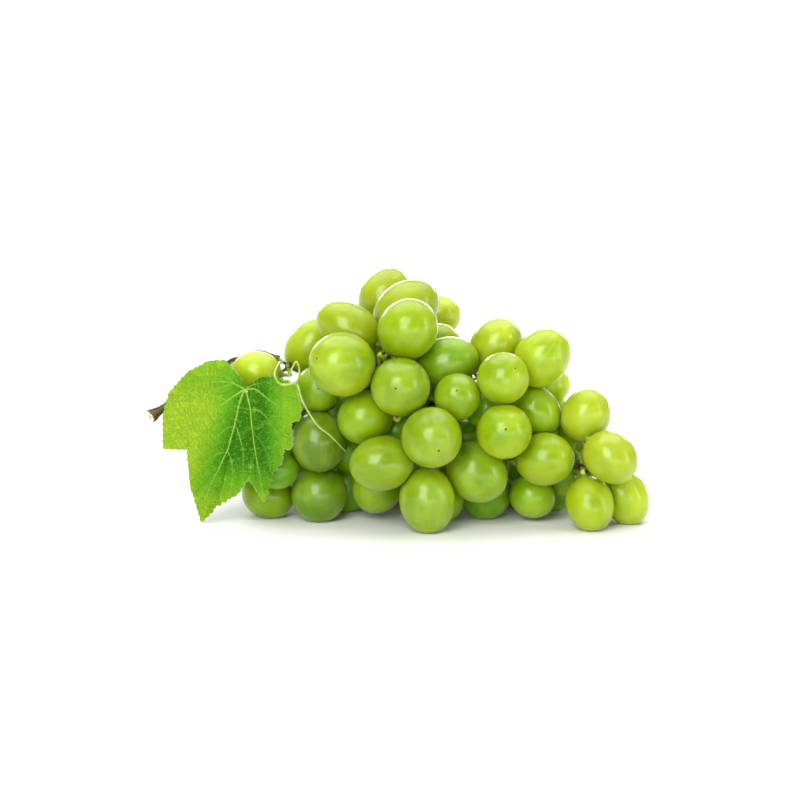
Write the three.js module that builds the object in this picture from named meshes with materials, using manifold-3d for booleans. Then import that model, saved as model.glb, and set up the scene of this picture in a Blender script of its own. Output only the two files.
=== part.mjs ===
// A bunch of white table grapes that lies on its side, with a leaf, a forked tendril and a stub of shoot.
// Millimetres, +Z up. X runs along the bunch, from the cut shoot to the narrow end, and +Y is its back.
// The origin is on the surface that it lies on, under the middle of its bounding box.
import * as THREE from "three";
import { mergeVertices } from "three/addons/utils/BufferGeometryUtils.js";
import Module from "manifold-3d";

// Driving dimensions
const BOX_MIDDLE = [-1.42, -2.15]; // X and Y of the box's middle, in the frame of the lists below
const CLEAR = 0.3; // gap between solids that meet
const BERRY_GAP = 0.35; // gap between the smooth forms of two berries
const FLOOR_PRESS = 0.6; // how far a berry flattens on the surface
const BERRY_SIDES = 9;
const BERRY_BANDS = 6;
const PEDICEL_RADIUS = 0.75;
const PEDICEL_BEND = 4; // length of a pedicel's last, straight stretch
const PEDICEL_SUNK = 1.5; // how deep its end sits in the berry
const STALK_RADIUS = 1.2; // a spray's own stalk
const BARE_STALK = 0.35; // share of a stalk, from the rachis, that carries no pedicel
const PEDICEL_LEAD = 0.15; // share of the stalk by which a pedicel starts before its berry
const AIM_LEAD = 0.25; // the same for the point that a berry which isn't aimed points away from
const KNOB_RADIUS = 2; // where a spray's pedicels part
const RACHIS_RADIUS = 1.5;
const CANE_RADIUS = 1.35;
const CANE_NODE_RADIUS = 2.1;
const CUT_RADIUS = 2.3; // the flared, cut end of the shoot
const CUT_LENGTH = 5;
const CUT_OUT = 0.5; // how far it stands past the end of the shoot's line
const TENDRIL_RADIUS = 0.5;
const TENDRIL_ARM_RADIUS = 0.4;
const TENDRIL_KNOB_RADIUS = 0.7; // where it forks
const PETIOLE_RADIUS = 1.1;
// Sides round each stem, and steps along it
const STALK_FACETS = [5, 1];
const PEDICEL_FACETS = [4, 2];
const RACHIS_FACETS = [8, 18];
const CANE_FACETS = [8, 10];
const TENDRIL_FACETS = [5, 12];
const TENDRIL_ARM_FACETS = [4, 14];
const PETIOLE_FACETS = [6, 8];
const LEAF_THICKNESS = 0.9;
const LEAF_RINGS = 3;
const TOOTH_PITCH = 4.6;
const TOOTH_TIP = 0.65; // how far along its pitch a tooth's tip is

// Where berries that nobody sees from the front sit: rows across the bunch, each an arc from the top
// down to the surface. x, height of the arc's top and its depth.
const REAR_ROWS = [
  [-45, 36, 22],
  [-28, 60, 33],
  [-10, 69, 38],
  [9, 66, 40],
  [27, 43, 37],
  [45, 58, 32],
  [61, 30, 27],
  [77, 19, 15],
];
const REAR_PITCH = 18; // distance between berries along a row
const REAR_SPREAD = 3; // how far across its row a berry may stray, side to side
const REAR_START = 0.42; // angle from the vertical where a row starts, in radians
const REAR_LENGTH = [19.5, 23.5];
const REAR_SLIMNESS = [0.88, 0.95]; // width over length
const UNDERSIDE = { x: [-36, -16, 4, 24, 46], y: 13 };
const HEART = [
  [-22, 6, 69],
  [30, 2, 40],
  [48, 2, 52],
]; // berries between the front and the back ones
const BERRY_BOTTOM = 10; // height of the centre of a berry that lies on the surface
const SEED = 5;

// The settling of the berries: each round pushes overlapping ones apart and eases the seen ones home.
const ROUNDS = 260;
const PAIR_PUSH = 0.7; // share of an overlap that a round takes away
const STEM_PUSH = 0.6;
const FLOOR_REACH = 1; // a berry nearer to the surface than this comes to lie on it
const LAST_FREE_ROUNDS = 40;
const SEEN_EASE = [0.25, 1, 0.25];
const REAR_EASE = [1, 1, 1];
const SEEN_PULL = 0.1;
const REAR_PULL = 0.02;

const RACHIS = [
  [-48, -5, 61.9],
  [-40, -7, 57.4],
  [-20, -4, 51.5],
  [0, -4, 46.5],
  [22, -6, 41],
  [45, -10, 33],
  [62, -17, 26],
  [73, -24, 21],
];
const CANE = [
  [-98.2, -14, 40.4],
  [-87.5, -7.5, 46.8],
  [-77.5, -6, 53.8],
  [-66.5, -4, 60.4],
  [-56.5, -4, 64.3],
  [-48, -5, 61.9],
];
const CANE_NODES = [3, 5]; // where the leaf and the bunch grow from it
const PETIOLE = [
  [-59, -34.6, 54],
  [-61, -27, 49],
  [-65, -14, 50.5],
  [-66.5, -4, 60.4],
];
const TENDRIL = [
  [-48, -5, 61.9],
  [-46, -12, 62],
  [-47, -24, 62.5],
  [-48, -36.5, 60.5],
  [-46.5, -38, 57.5],
  [-44, -38, 56.5],
  [-41.5, -38, 57],
  [-39.5, -38, 57.5],
];
const TENDRIL_ARMS = [
  [
    [-39.5, -38, 57.5],
    [-38.5, -38.5, 60.5],
    [-38.5, -39, 63.5],
    [-39.5, -38.5, 65.5],
    [-40.5, -38, 64.5],
    [-42, -37.5, 61],
    [-42.5, -37, 57.5],
  ],
  [
    [-39.5, -38, 57.5],
    [-38.5, -38, 54.5],
    [-37.5, -38, 50.6],
    [-34.5, -38.5, 45.2],
    [-31, -39, 40.4],
    [-26.5, -38.8, 36.8],
    [-20.8, -35.5, 30],
  ],
];

// Each spray leaves the rachis at x = root and ends at its knob, tip. A berry is its centre, its length
// and width and, where it doesn't just point away from its stalk, the way that its free end points.
const SPRAYS = [
  {
    name: "spray_crown_front",
    root: -14,
    tip: [-6, -26, 63],
    berries: [
      [-22, -38, 64.5, 26.3, 24, [-0.68, -0.68, 0.27]],
      [3, -31, 77.1, 24, 22.3, [0.58, -0.3, 0.75]],
      [-20.2, -20, 76.3, 25.5, 18.8, [-0.85, 0.1, 0.45]],
      [2.4, -9, 82.3, 27, 21.3, [0.8, 0, 0.55]],
    ],
  },
  {
    name: "spray_crown_top",
    root: -3,
    tip: [0, 4, 68],
    berries: [
      [-5.9, 11, 84.6, 23.5, 18.4, [0.55, 0.1, 0.75]],
      [15.6, 30, 74.2, 17, 16],
      [14.5, 5, 64.4, 18, 17.5],
      [-35.6, 1, 66.3, 24, 17, [-0.64, 0, -0.77]],
    ],
  },
  {
    name: "spray_middle_front",
    root: 8,
    tip: [8, -22, 50],
    berries: [
      [0, -41, 56, 22.5, 22, [-0.15, -1, 0.1]],
      [17.9, -23, 60.3, 25, 19.5, [0.95, -0.1, 0.3]],
      [20.7, -35, 52, 18.3, 17.4, [-0.05, -0.95, 0.4]],
      [12, -12, 51.5, 18, 17],
      [-1, -18, 35.5, 20, 19],
    ],
  },
  {
    name: "spray_belly_front",
    root: 13,
    tip: [8, -26, 29],
    berries: [
      [12.9, -44, 39.6, 22.8, 22.4, [0.2, -0.9, -0.24]],
      [-6.9, -40, 27.6, 24.6, 20.4, [-0.9, -0.25, -0.12]],
      [10.3, -39, 13, 25.8, 21, [0.1, -0.2, -1]],
      [17.3, -21, 9.5, 20, 19],
      [-8.8, -19, 12.5, 20, 18.7],
    ],
  },
  {
    name: "spray_right_top",
    root: 27,
    tip: [42, -18, 52],
    berries: [
      [39.2, -38, 58.6, 20, 19.4, [0.4, -0.8, 0.47]],
      [37.8, -15, 68.9, 21.5, 19.2, [0.5, -0.1, 0.7]],
      [54.5, -26, 64.8, 24, 20.5, [0.6, -0.1, 0.75]],
      [52.3, -24, 44.3, 22.3, 17.9, [0.65, -0.2, -0.65]],
      [58.8, -8, 51.2, 16, 15],
      [35, -20, 44, 17.5, 17],
    ],
  },
  {
    name: "spray_right_front",
    root: 34,
    tip: [44, -18, 24],
    berries: [
      [39.4, -40, 39, 21.2, 20.6, [0, -1, 0.25]],
      [55.8, -32, 27.4, 22.8, 20, [0.9, -0.42, 0.12]],
      [29.6, -34, 22.5, 25.3, 22.2, [0.76, -0.3, -0.54]],
      [50, -18, 10, 18, 16.5, [0.8, -0.35, -0.5]],
      [34.5, -20, 9.5, 20, 19],
      [61, -5, 9.5, 18, 17.5],
      [28, -12, 34, 19, 18],
    ],
  },
  {
    name: "spray_tip",
    root: 70,
    tip: [74, -26.5, 21],
    berries: [
      [71.8, -24, 40.3, 21.5, 18.5, [0.3, -0.2, 0.9]],
      [80, -34, 29.7, 22, 18.8, [0.68, -0.42, -0.52]],
      [87.9, -26, 11.2, 22.5, 17.4, [0.4, -0.1, -0.9]],
      [73.4, -36, 11, 21.8, 18, [0.18, -0.5, -0.8]],
      [65, -13, 18, 16, 15.5],
      [69.5, -14, 32.5, 17, 16.5],
      [62.5, -5, 39, 14, 13],
    ],
  },
  {
    name: "spray_left_front",
    root: -36,
    tip: [-27, -14, 44],
    berries: [
      [-31.8, -22, 52.3, 19, 17.7],
      [-14.6, -31, 40.9, 21.8, 19.8, [-0.75, -0.4, -0.45]],
      [-30.6, -24, 32.2, 23.2, 21.3, [0, -0.3, -1]],
      [-24, -8, 42, 16, 15.5],
    ],
  },
  {
    name: "spray_left_foot",
    root: -29,
    tip: [-32, -10, 24],
    berries: [
      [-31.6, -19, 11, 22, 21.3],
      [-21.5, -3, 10, 21, 20.5],
      [-52.2, -16, 10.8, 21.5, 18.8, [0.7, -0.45, -0.55]],
      [-46.7, -22.5, 21.8, 16.5, 16],
      [-21, -11, 27, 18, 17],
    ],
  },
  {
    name: "spray_wing",
    root: -44,
    tip: [-44.5, -10, 58.8],
    berries: [
      [-56.2, -14, 58.1, 18.9, 15.8, [-1, 0, 0.1]],
      [-54.5, -3, 50.5, 16.5, 15.5],
    ],
  },
  { name: "spray_rear_left", root: -22, tip: [-32, 14, 42], berries: [] },
  { name: "spray_rear_crown", root: -8, tip: [-8, 18, 64], berries: [] },
  { name: "spray_rear_middle", root: 3, tip: [0, 20, 34], berries: [] },
  { name: "spray_rear_shoulder", root: 20, tip: [28, 14, 52], berries: [] },
  { name: "spray_rear_right", root: 41, tip: [36, 14, 25], berries: [] },
  { name: "spray_rear_tip", root: 56, tip: [62, 3, 24], berries: [] },
];

// The leaf's edge seen from the front, from the notch where the petiole joins it and on past the left
// lobe: x, z and the depth of the teeth on the stretch that follows.
const LEAF_EDGE = [
  [-59, 55.5, 0],
  [-62, 60.5, 0],
  [-67, 65, 0.6],
  [-74, 64.5, 0.6],
  [-82, 60, 0.6],
  [-90, 51, 0.6],
  [-93, 41.5, 0.6],
  [-93, 28, 0.5],
  [-83, 29, 0.6],
  [-82, 14, 0.7],
  [-77.5, 0.8, 1],
  [-71.5, 8, 1],
  [-63, 13, 0.8],
  [-58.5, 19.5, 0.8],
  [-52.5, 10, 1.1],
  [-49, 22, 1.1],
  [-45.5, 26, 1.1],
  [-45, 31, 1],
  [-41.5, 31.5, 1.1],
  [-42, 41.5, 0.6],
  [-38.5, 42.5, 1.1],
  [-38, 48, 1.1],
  [-40, 56, 0.9],
  [-48.5, 59.5, 0.7],
  [-54, 58.5, 0.3],
];
const LEAF_MIDDLE = [-59.5, 50]; // every point of the edge is in plain sight of it
const LEAF_FRONT = -34.5; // depth of the flat part of the blade
const LEAF_FOLD_X = -57; // left of it, the blade bends back
const LEAF_BEND = 0.0115;
const LEAF_LEAN = 0.0026; // the lower left hangs back further
const LEAF_TOP = 57; // above it, the blade's top edge rolls back
const LEAF_ROLL = 0.035;
const LEAF_WAVE = 0.7;
const LEAF_WAVE_LENGTH = 15;

const GRAPE = { color: "#a9bf3c", roughness: 0.3, metalness: 0 };
const GREEN_STALK = { color: "#8a8a3a", roughness: 0.6, metalness: 0 };
const WOOD = { color: "#7d6040", roughness: 0.8, metalness: 0 };
const LEAF = { color: "#5f9a2c", roughness: 0.5, metalness: 0 };
const TENDRIL_GREEN = { color: "#b5cf74", roughness: 0.5, metalness: 0 };

const MERGE_DISTANCE = 1e-4;
const GROUND_SIDE = 400; // larger than the bunch

const UP = new THREE.Vector3(0, 1, 0); // the axis of three.js's own round shapes
const vec = (list) => new THREE.Vector3(...list);

const wasm = await Module();
wasm.setup();

// The solid of a closed geometry
function solidOf(geometry) {
  geometry.deleteAttribute("normal");
  geometry.deleteAttribute("uv");
  const merged = mergeVertices(geometry, MERGE_DISTANCE);
  const made = new wasm.Mesh({
    numProp: 3,
    vertProperties: new Float32Array(merged.attributes.position.array),
    triVerts: new Uint32Array(merged.index.array),
  });
  return new wasm.Manifold(made);
}

function joined(solids) {
  return solids.reduce((all, one) => all.add(one));
}

function smooth(points) {
  return new THREE.CatmullRomCurve3(points.map(vec));
}

function tube(curve, radius, [sides, steps]) {
  const section = new THREE.Shape();
  for (let i = 0; i < sides; i++) {
    const angle = (2 * Math.PI * i) / sides;
    section[i ? "lineTo" : "moveTo"](radius * Math.cos(angle), radius * Math.sin(angle));
  }
  const options = { steps, curveSegments: 1, bevelEnabled: false, extrudePath: curve };
  return solidOf(new THREE.ExtrudeGeometry(section, options));
}

function ball(centre, radius) {
  return solidOf(new THREE.IcosahedronGeometry(radius, 0).translate(...centre));
}

// Numbers from 0 to 1, the same on every run
function randomNumbers(seed) {
  let state = seed;
  return () => {
    state = (state * 16807) % 2147483647;
    return state / 2147483647;
  };
}

function between([low, high], share) {
  return low + (high - low) * share;
}

// The point of the rachis at a given x
function rachisAt(x) {
  const last = RACHIS.length - 2;
  const i = Math.min(last, RACHIS.findIndex((point, n) => n === last || x <= RACHIS[n + 1][0]));
  const share = THREE.MathUtils.clamp((x - RACHIS[i][0]) / (RACHIS[i + 1][0] - RACHIS[i][0]), 0, 1);
  return vec(RACHIS[i]).lerp(vec(RACHIS[i + 1]), share);
}

function nearestOn(point, start, end) {
  const along = end.clone().sub(start);
  const share = point.clone().sub(start).dot(along) / along.lengthSq();
  const held = THREE.MathUtils.clamp(share, 0, 1);
  return { point: start.clone().addScaledVector(along, held), share: held };
}

// A berry's radius in a given direction
function reach(berry, direction) {
  const along = berry.axis.dot(direction) ** 2;
  return 1 / Math.sqrt(along / (berry.length / 2) ** 2 + (1 - along) / (berry.width / 2) ** 2);
}

// How far below its centre a berry's lowest point is
function drop(berry) {
  const along = berry.axis.z ** 2;
  return Math.sqrt(along * (berry.length / 2) ** 2 + (1 - along) * (berry.width / 2) ** 2);
}

function newBerry([x, y, z, length, width, aim], spray, seen) {
  return {
    centre: vec([x, y, z]),
    home: vec([x, y, z]),
    axis: aim ? vec(aim).normalize() : null,
    aimed: Boolean(aim),
    length,
    width,
    spray,
    ease: seen ? SEEN_EASE : REAR_EASE,
    pull: seen ? SEEN_PULL : REAR_PULL,
  };
}

// The berries of the back and the underside, each given to the nearest rear spray
function rearBerries(sprays) {
  const random = randomNumbers(SEED);
  const rear = sprays.filter((spray) => spray.name.startsWith("spray_rear"));
  const places = [];
  REAR_ROWS.forEach(([x, top, depth], row) => {
    const rise = top - BERRY_BOTTOM;
    const stretch = (Math.PI / 2 - REAR_START) * Math.hypot(rise, depth) * Math.SQRT1_2;
    const count = Math.max(2, Math.round(stretch / REAR_PITCH) + 1);
    for (let i = 0; i < count; i++) {
      const shift = row % 2 ? 0.5 : 0;
      const angle = REAR_START + ((Math.PI / 2 - REAR_START) * (i + shift)) / (count - 0.5);
      const y = depth * Math.sin(angle);
      const z = BERRY_BOTTOM + rise * Math.cos(angle);
      places.push([x + REAR_SPREAD * (random() - 0.5), y, Math.max(BERRY_BOTTOM, z)]);
    }
  });
  UNDERSIDE.x.forEach((x) => places.push([x, UNDERSIDE.y, BERRY_BOTTOM]));
  places.push(...HEART);
  return places.map((place) => {
    const length = between(REAR_LENGTH, random());
    const width = length * between(REAR_SLIMNESS, random());
    const distances = rear.map((spray) => spray.knob.distanceTo(vec(place)));
    const spray = rear[distances.indexOf(Math.min(...distances))];
    return newBerry([...place, length, width], spray, false);
  });
}

// A berry that isn't aimed points away from the stalk of its spray.
function aim(berry) {
  if (berry.aimed) return;
  const { share } = nearestOn(berry.centre, berry.spray.start, berry.spray.knob);
  const fromShare = Math.max(BARE_STALK, share - AIM_LEAD);
  const from = berry.spray.start.clone().lerp(berry.spray.knob, fromShare);
  berry.axis = berry.centre.clone().sub(from).normalize();
}

function move(berry, direction, distance) {
  berry.centre.add(direction.clone().multiply(vec(berry.ease)).multiplyScalar(distance));
}

function pushApart(one, other) {
  const away = other.centre.clone().sub(one.centre);
  const distance = away.length();
  const direction = away.divideScalar(distance);
  const short = reach(one, direction) + reach(other, direction) + BERRY_GAP - distance;
  if (short <= 0) return;
  const give = [0, 1, 2].reduce((sum, i) => {
    const share = direction.getComponent(i) ** 2;
    return sum + share * (one.ease[i] + other.ease[i]);
  }, 0);
  move(one, direction, (-PAIR_PUSH * short) / give);
  move(other, direction, (PAIR_PUSH * short) / give);
}

function pushOff(berry, stem) {
  const away = berry.centre.clone().sub(nearestOn(berry.centre, stem.start, stem.end).point);
  const distance = away.length();
  const direction = away.divideScalar(distance);
  const short = reach(berry, direction) + stem.radius + CLEAR - distance;
  if (short > 0) move(berry, direction, STEM_PUSH * short);
}

function stemPieces(points, radius) {
  return points.slice(1).map((end, i) => ({ start: vec(points[i]), end: vec(end), radius }));
}

// Sprays with their berries, pushed clear of each other, of the stems and of the surface
function settledSprays() {
  const sprays = SPRAYS.map((spray) => ({
    ...spray,
    start: rachisAt(spray.root),
    knob: vec(spray.tip),
  }));
  const seen = sprays.flatMap((spray) => spray.berries.map((row) => newBerry(row, spray, true)));
  const berries = [...seen, ...rearBerries(sprays)];
  const stems = [
    ...stemPieces(RACHIS, RACHIS_RADIUS),
    ...stemPieces(CANE, CANE_RADIUS),
    ...stemPieces(PETIOLE, PETIOLE_RADIUS),
    ...sprays.map((spray) => ({ start: spray.start, end: spray.knob, radius: STALK_RADIUS })),
  ];
  for (let round = 0; round < ROUNDS; round++) {
    berries.forEach(aim);
    berries.forEach((one, i) => berries.slice(i + 1).forEach((other) => pushApart(one, other)));
    berries.forEach((berry) => {
      stems.forEach((stem) => pushOff(berry, stem));
      const homeward = berry.home.clone().sub(berry.centre);
      if (round < ROUNDS - LAST_FREE_ROUNDS) berry.centre.addScaledVector(homeward, berry.pull);
      const low = drop(berry);
      if (berry.centre.z < low + FLOOR_REACH) berry.centre.z = low - FLOOR_PRESS;
    });
  }
  sprays.forEach((spray) => {
    spray.berries = berries.filter((berry) => berry.spray === spray);
  });
  return sprays;
}

function berrySolid(berry) {
  const turn = new THREE.Quaternion().setFromUnitVectors(UP, berry.axis);
  const size = new THREE.Vector3(berry.width / 2, berry.length / 2, berry.width / 2);
  const place = new THREE.Matrix4().compose(berry.centre, turn, size);
  return solidOf(new THREE.SphereGeometry(1, BERRY_SIDES, BERRY_BANDS).applyMatrix4(place));
}

// The thin stem of one berry, from its spray's stalk into the berry's root end
function pedicelCurve(berry) {
  const { start, knob } = berry.spray;
  const { share } = nearestOn(berry.centre, start, knob);
  const from = start.clone().lerp(knob, Math.max(BARE_STALK, share - PEDICEL_LEAD));
  const end = berry.centre.clone().addScaledVector(berry.axis, PEDICEL_SUNK - berry.length / 2);
  const bend = end.clone().addScaledVector(berry.axis, -PEDICEL_BEND - PEDICEL_SUNK);
  return new THREE.QuadraticBezierCurve3(from, bend, end);
}

// A spray's stalk, knob and pedicels, thickened by a margin
function sprayStems(spray, margin) {
  const line = new THREE.LineCurve3(spray.start, spray.knob);
  const stalk = tube(line, STALK_RADIUS + margin, STALK_FACETS);
  const pedicels = spray.berries.map((berry) =>
    tube(pedicelCurve(berry), PEDICEL_RADIUS + margin, PEDICEL_FACETS),
  );
  return joined([stalk, ball(spray.tip, KNOB_RADIUS + margin), ...pedicels]);
}

function rachisSolid(margin) {
  return tube(smooth(RACHIS), RACHIS_RADIUS + margin, RACHIS_FACETS);
}

function caneSolid(margin) {
  const wood = tube(smooth(CANE), CANE_RADIUS + margin, CANE_FACETS);
  const [end, next] = CANE.slice(0, 2).map(vec);
  const inward = next.clone().sub(end).normalize();
  const [sides] = CANE_FACETS;
  const flare = new THREE.CylinderGeometry(CANE_RADIUS, CUT_RADIUS + margin, CUT_LENGTH, sides)
    .applyQuaternion(new THREE.Quaternion().setFromUnitVectors(UP, inward))
    .translate(...end.clone().addScaledVector(inward, CUT_LENGTH / 2 - CUT_OUT));
  const nodes = CANE_NODES.map((i) => ball(CANE[i], CANE_NODE_RADIUS + margin));
  return joined([wood, solidOf(flare), ...nodes]);
}

function tendrilSolid() {
  const stalk = tube(smooth(TENDRIL), TENDRIL_RADIUS, TENDRIL_FACETS);
  const arms = TENDRIL_ARMS.map((arm) =>
    tube(smooth(arm), TENDRIL_ARM_RADIUS, TENDRIL_ARM_FACETS),
  );
  return joined([stalk, ball(TENDRIL.at(-1), TENDRIL_KNOB_RADIUS), ...arms]);
}

// The leaf's edge with its teeth
function leafOutline() {
  return LEAF_EDGE.flatMap(([x, z, tooth], i) => {
    const [nextX, nextZ] = LEAF_EDGE[(i + 1) % LEAF_EDGE.length];
    const run = Math.hypot(nextX - x, nextZ - z);
    const count = tooth ? Math.max(1, Math.round(run / TOOTH_PITCH)) : 0;
    const points = [[x, z]];
    for (let n = 0; n < count; n++) {
      if (n) points.push([x + ((nextX - x) * n) / count, z + ((nextZ - z) * n) / count]);
      const share = (n + TOOTH_TIP) / count;
      const outX = ((nextZ - z) / run) * tooth;
      const outZ = (-(nextX - x) / run) * tooth;
      points.push([x + (nextX - x) * share + outX, z + (nextZ - z) * share + outZ]);
    }
    return points;
  });
}

function leafDepth(x, z) {
  const left = Math.max(0, LEAF_FOLD_X - x);
  const above = Math.max(0, z - LEAF_TOP);
  const bend = LEAF_BEND * left ** 2 + LEAF_LEAN * left * (LEAF_TOP - z) + LEAF_ROLL * above ** 2;
  const wave = LEAF_WAVE * Math.sin((x - z / 2) / (LEAF_WAVE_LENGTH / (2 * Math.PI)));
  const fade = Math.min(1, Math.hypot(x - LEAF_MIDDLE[0], z - LEAF_MIDDLE[1]) / LEAF_WAVE_LENGTH);
  return LEAF_FRONT + bend + wave * fade;
}

// The blade: rings of points between its middle and its edge, alike on both faces
function leafBlade() {
  const outline = leafOutline();
  const count = outline.length;
  const [middleX, middleZ] = LEAF_MIDDLE;
  const points = [LEAF_MIDDLE];
  for (let ring = 1; ring <= LEAF_RINGS; ring++) {
    const share = ring / LEAF_RINGS;
    outline.forEach(([x, z]) => {
      points.push([middleX + (x - middleX) * share, middleZ + (z - middleZ) * share]);
    });
  }
  const positions = [-1, 1].flatMap((side) =>
    points.flatMap(([x, z]) => [x, leafDepth(x, z) + (side * LEAF_THICKNESS) / 2, z]),
  );
  const triangles = [];
  const back = points.length;
  const addBoth = (a, b, c) => triangles.push(a, b, c, back + a, back + c, back + b);
  for (let i = 0; i < count; i++) {
    const next = (i + 1) % count;
    addBoth(0, 1 + i, 1 + next);
    for (let ring = 1; ring < LEAF_RINGS; ring++) {
      const inner = 1 + (ring - 1) * count;
      const outer = inner + count;
      addBoth(inner + i, outer + i, outer + next);
      addBoth(inner + i, outer + next, inner + next);
    }
    const edge = 1 + (LEAF_RINGS - 1) * count;
    triangles.push(edge + i, back + edge + i, edge + next);
    triangles.push(edge + next, back + edge + i, back + edge + next);
  }
  const geometry = new THREE.BufferGeometry();
  geometry.setAttribute("position", new THREE.Float32BufferAttribute(positions, 3));
  geometry.setIndex(triangles);
  return solidOf(geometry);
}

function leafSolid() {
  const petiole = tube(smooth(PETIOLE), PETIOLE_RADIUS, PETIOLE_FACETS);
  return leafBlade().add(petiole);
}

// All that is below the surface
function ground() {
  const box = new THREE.BoxGeometry(GROUND_SIDE, GROUND_SIDE, GROUND_SIDE);
  return solidOf(box.translate(0, 0, -GROUND_SIDE / 2));
}

// The largest body of a solid: cutting can leave a loose crumb
function withoutCrumbs(solid) {
  return solid.decompose().reduce((best, body) => (body.volume() > best.volume() ? body : best));
}

const bunch = new THREE.Group();

function addPiece(name, solid, look) {
  const { vertProperties, triVerts } = withoutCrumbs(solid).getMesh();
  const geometry = new THREE.BufferGeometry();
  geometry.setAttribute("position", new THREE.BufferAttribute(vertProperties, 3));
  geometry.setIndex(new THREE.BufferAttribute(triVerts, 1));
  geometry.computeVertexNormals();
  const mesh = new THREE.Mesh(geometry, new THREE.MeshStandardMaterial(look));
  mesh.name = name;
  mesh.position.set(-BOX_MIDDLE[0], -BOX_MIDDLE[1], 0);
  bunch.add(mesh);
}

const sprays = settledSprays();
const cane = caneSolid(0);
const caneRoom = caneSolid(CLEAR);
const rachis = rachisSolid(0).subtract(caneRoom);
const rachisRoom = rachisSolid(CLEAR);
const stems = sprays.map((spray) => sprayStems(spray, 0));
const stemRooms = sprays.map((spray) => sprayStems(spray, CLEAR));
const floor = ground();

addPiece("cane", cane, WOOD);
addPiece("rachis", rachis, GREEN_STALK);
addPiece("tendril", tendrilSolid().subtract(caneRoom).subtract(rachisRoom), TENDRIL_GREEN);
addPiece("leaf", leafSolid().subtract(caneRoom).subtract(floor), LEAF);
sprays.forEach((spray, i) => {
  const others = stemRooms.filter((room, n) => n !== i);
  const berries = joined(spray.berries.map(berrySolid)).subtract(joined(others));
  const whole = berries.add(stems[i]).subtract(rachisRoom).subtract(caneRoom).subtract(floor);
  addPiece(spray.name, whole, GRAPE);
});

export default bunch;
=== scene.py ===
# A bunch of white table grapes that lies on its side, with a vine leaf, a forked tendril and
# a stub of woody shoot. Lengths are in millimetres and angles in radians, unless a note says
# otherwise.
import math

import bpy
import numpy as np
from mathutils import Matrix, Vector


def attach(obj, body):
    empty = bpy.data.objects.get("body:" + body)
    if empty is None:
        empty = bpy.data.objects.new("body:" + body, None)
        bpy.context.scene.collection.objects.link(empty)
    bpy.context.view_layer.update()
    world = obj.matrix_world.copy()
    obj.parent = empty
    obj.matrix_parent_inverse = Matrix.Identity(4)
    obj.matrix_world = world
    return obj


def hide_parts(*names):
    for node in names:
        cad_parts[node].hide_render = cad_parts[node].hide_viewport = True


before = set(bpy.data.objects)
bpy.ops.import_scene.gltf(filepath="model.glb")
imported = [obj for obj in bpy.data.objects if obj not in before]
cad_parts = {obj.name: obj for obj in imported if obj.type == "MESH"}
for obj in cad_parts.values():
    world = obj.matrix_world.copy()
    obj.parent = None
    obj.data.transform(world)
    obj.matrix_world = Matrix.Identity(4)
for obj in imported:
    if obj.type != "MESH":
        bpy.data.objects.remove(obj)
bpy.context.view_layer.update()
millimetre = 0.001
body = "root"
print("frame loaded")

# The lists repeat the ones that the solids are built from, and the berries are settled by the
# same steps. boxMiddle is what both are moved by.
plan = {
    "boxMiddle": (-1.42, -2.15),
    "berryGap": 0.35,
    "floorPress": 0.6,  # how far the surface presses the lowest berries in
    "stemClear": 0.3,
    "pedicelBend": 4,
    "stalkRadius": 1.2,
    "bareStalk": 0.35,  # share of a stalk, from the rachis, that carries no pedicel
    "pedicelLead": 0.15,  # share of the stalk by which a pedicel starts before its berry
    "aimLead": 0.25,  # the same for the point that a free berry turns away from
    "rachisRadius": 1.5,
    "caneRadius": 1.35,
    "petioleRadius": 1.1,
    "rearRows": [  # x, height and depth of each arch of berries at the back
        (-45, 36, 22), (-28, 60, 33), (-10, 69, 38), (9, 66, 40),
        (27, 43, 37), (45, 58, 32), (61, 30, 27), (77, 19, 15),
    ],
    "rearPitch": 18,
    "rearSpread": 3,
    "rearStart": 0.42,  # how far from upright an arch begins
    "rearLength": (19.5, 23.5),
    "rearSlimness": (0.88, 0.95),
    "underside": ((-36, -16, 4, 24, 46), 13),  # places along x, and their y
    "heart": [(-22, 6, 69), (30, 2, 40), (48, 2, 52)],  # inside the bunch
    "berryBottom": 10,
    "seed": 5,
    "rounds": 260,
    "pairPush": 0.7,  # share of an overlap that one round takes away
    "stemPush": 0.6,
    "floorReach": 1,  # a berry nearer to the surface than this comes to lie on it
    "farApart": 30,  # longer than any berry
    "lastFreeRounds": 40,
    "seenEase": (0.25, 1, 0.25),  # how readily a berry moves along x, y and z
    "rearEase": (1, 1, 1),
    "seenPull": 0.1,  # how strongly it is drawn back to its own place
    "rearPull": 0.02,
}

rachis = [
    (-48, -5, 61.9), (-40, -7, 57.4), (-20, -4, 51.5), (0, -4, 46.5),
    (22, -6, 41), (45, -10, 33), (62, -17, 26), (73, -24, 21),
]
cane = [
    (-98.2, -14, 40.4), (-87.5, -7.5, 46.8), (-77.5, -6, 53.8),
    (-66.5, -4, 60.4), (-56.5, -4, 64.3), (-48, -5, 61.9),
]
petiole = [(-59, -34.6, 54), (-61, -27, 49), (-65, -14, 50.5), (-66.5, -4, 60.4)]
tendril = [
    (-48, -5, 61.9), (-46, -12, 62), (-47, -24, 62.5), (-48, -36.5, 60.5),
    (-46.5, -38, 57.5), (-44, -38, 56.5), (-41.5, -38, 57), (-39.5, -38, 57.5),
]
tendrilArms = [
    [
        (-39.5, -38, 57.5), (-38.5, -38.5, 60.5), (-38.5, -39, 63.5), (-39.5, -38.5, 65.5),
        (-40.5, -38, 64.5), (-42, -37.5, 61), (-42.5, -37, 57.5),
    ],
    [
        (-39.5, -38, 57.5), (-38.5, -38, 54.5), (-37.5, -38, 50.6), (-34.5, -38.5, 45.2),
        (-31, -39, 40.4), (-26.5, -38.8, 36.8), (-20.8, -35.5, 30),
    ],
]

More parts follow.
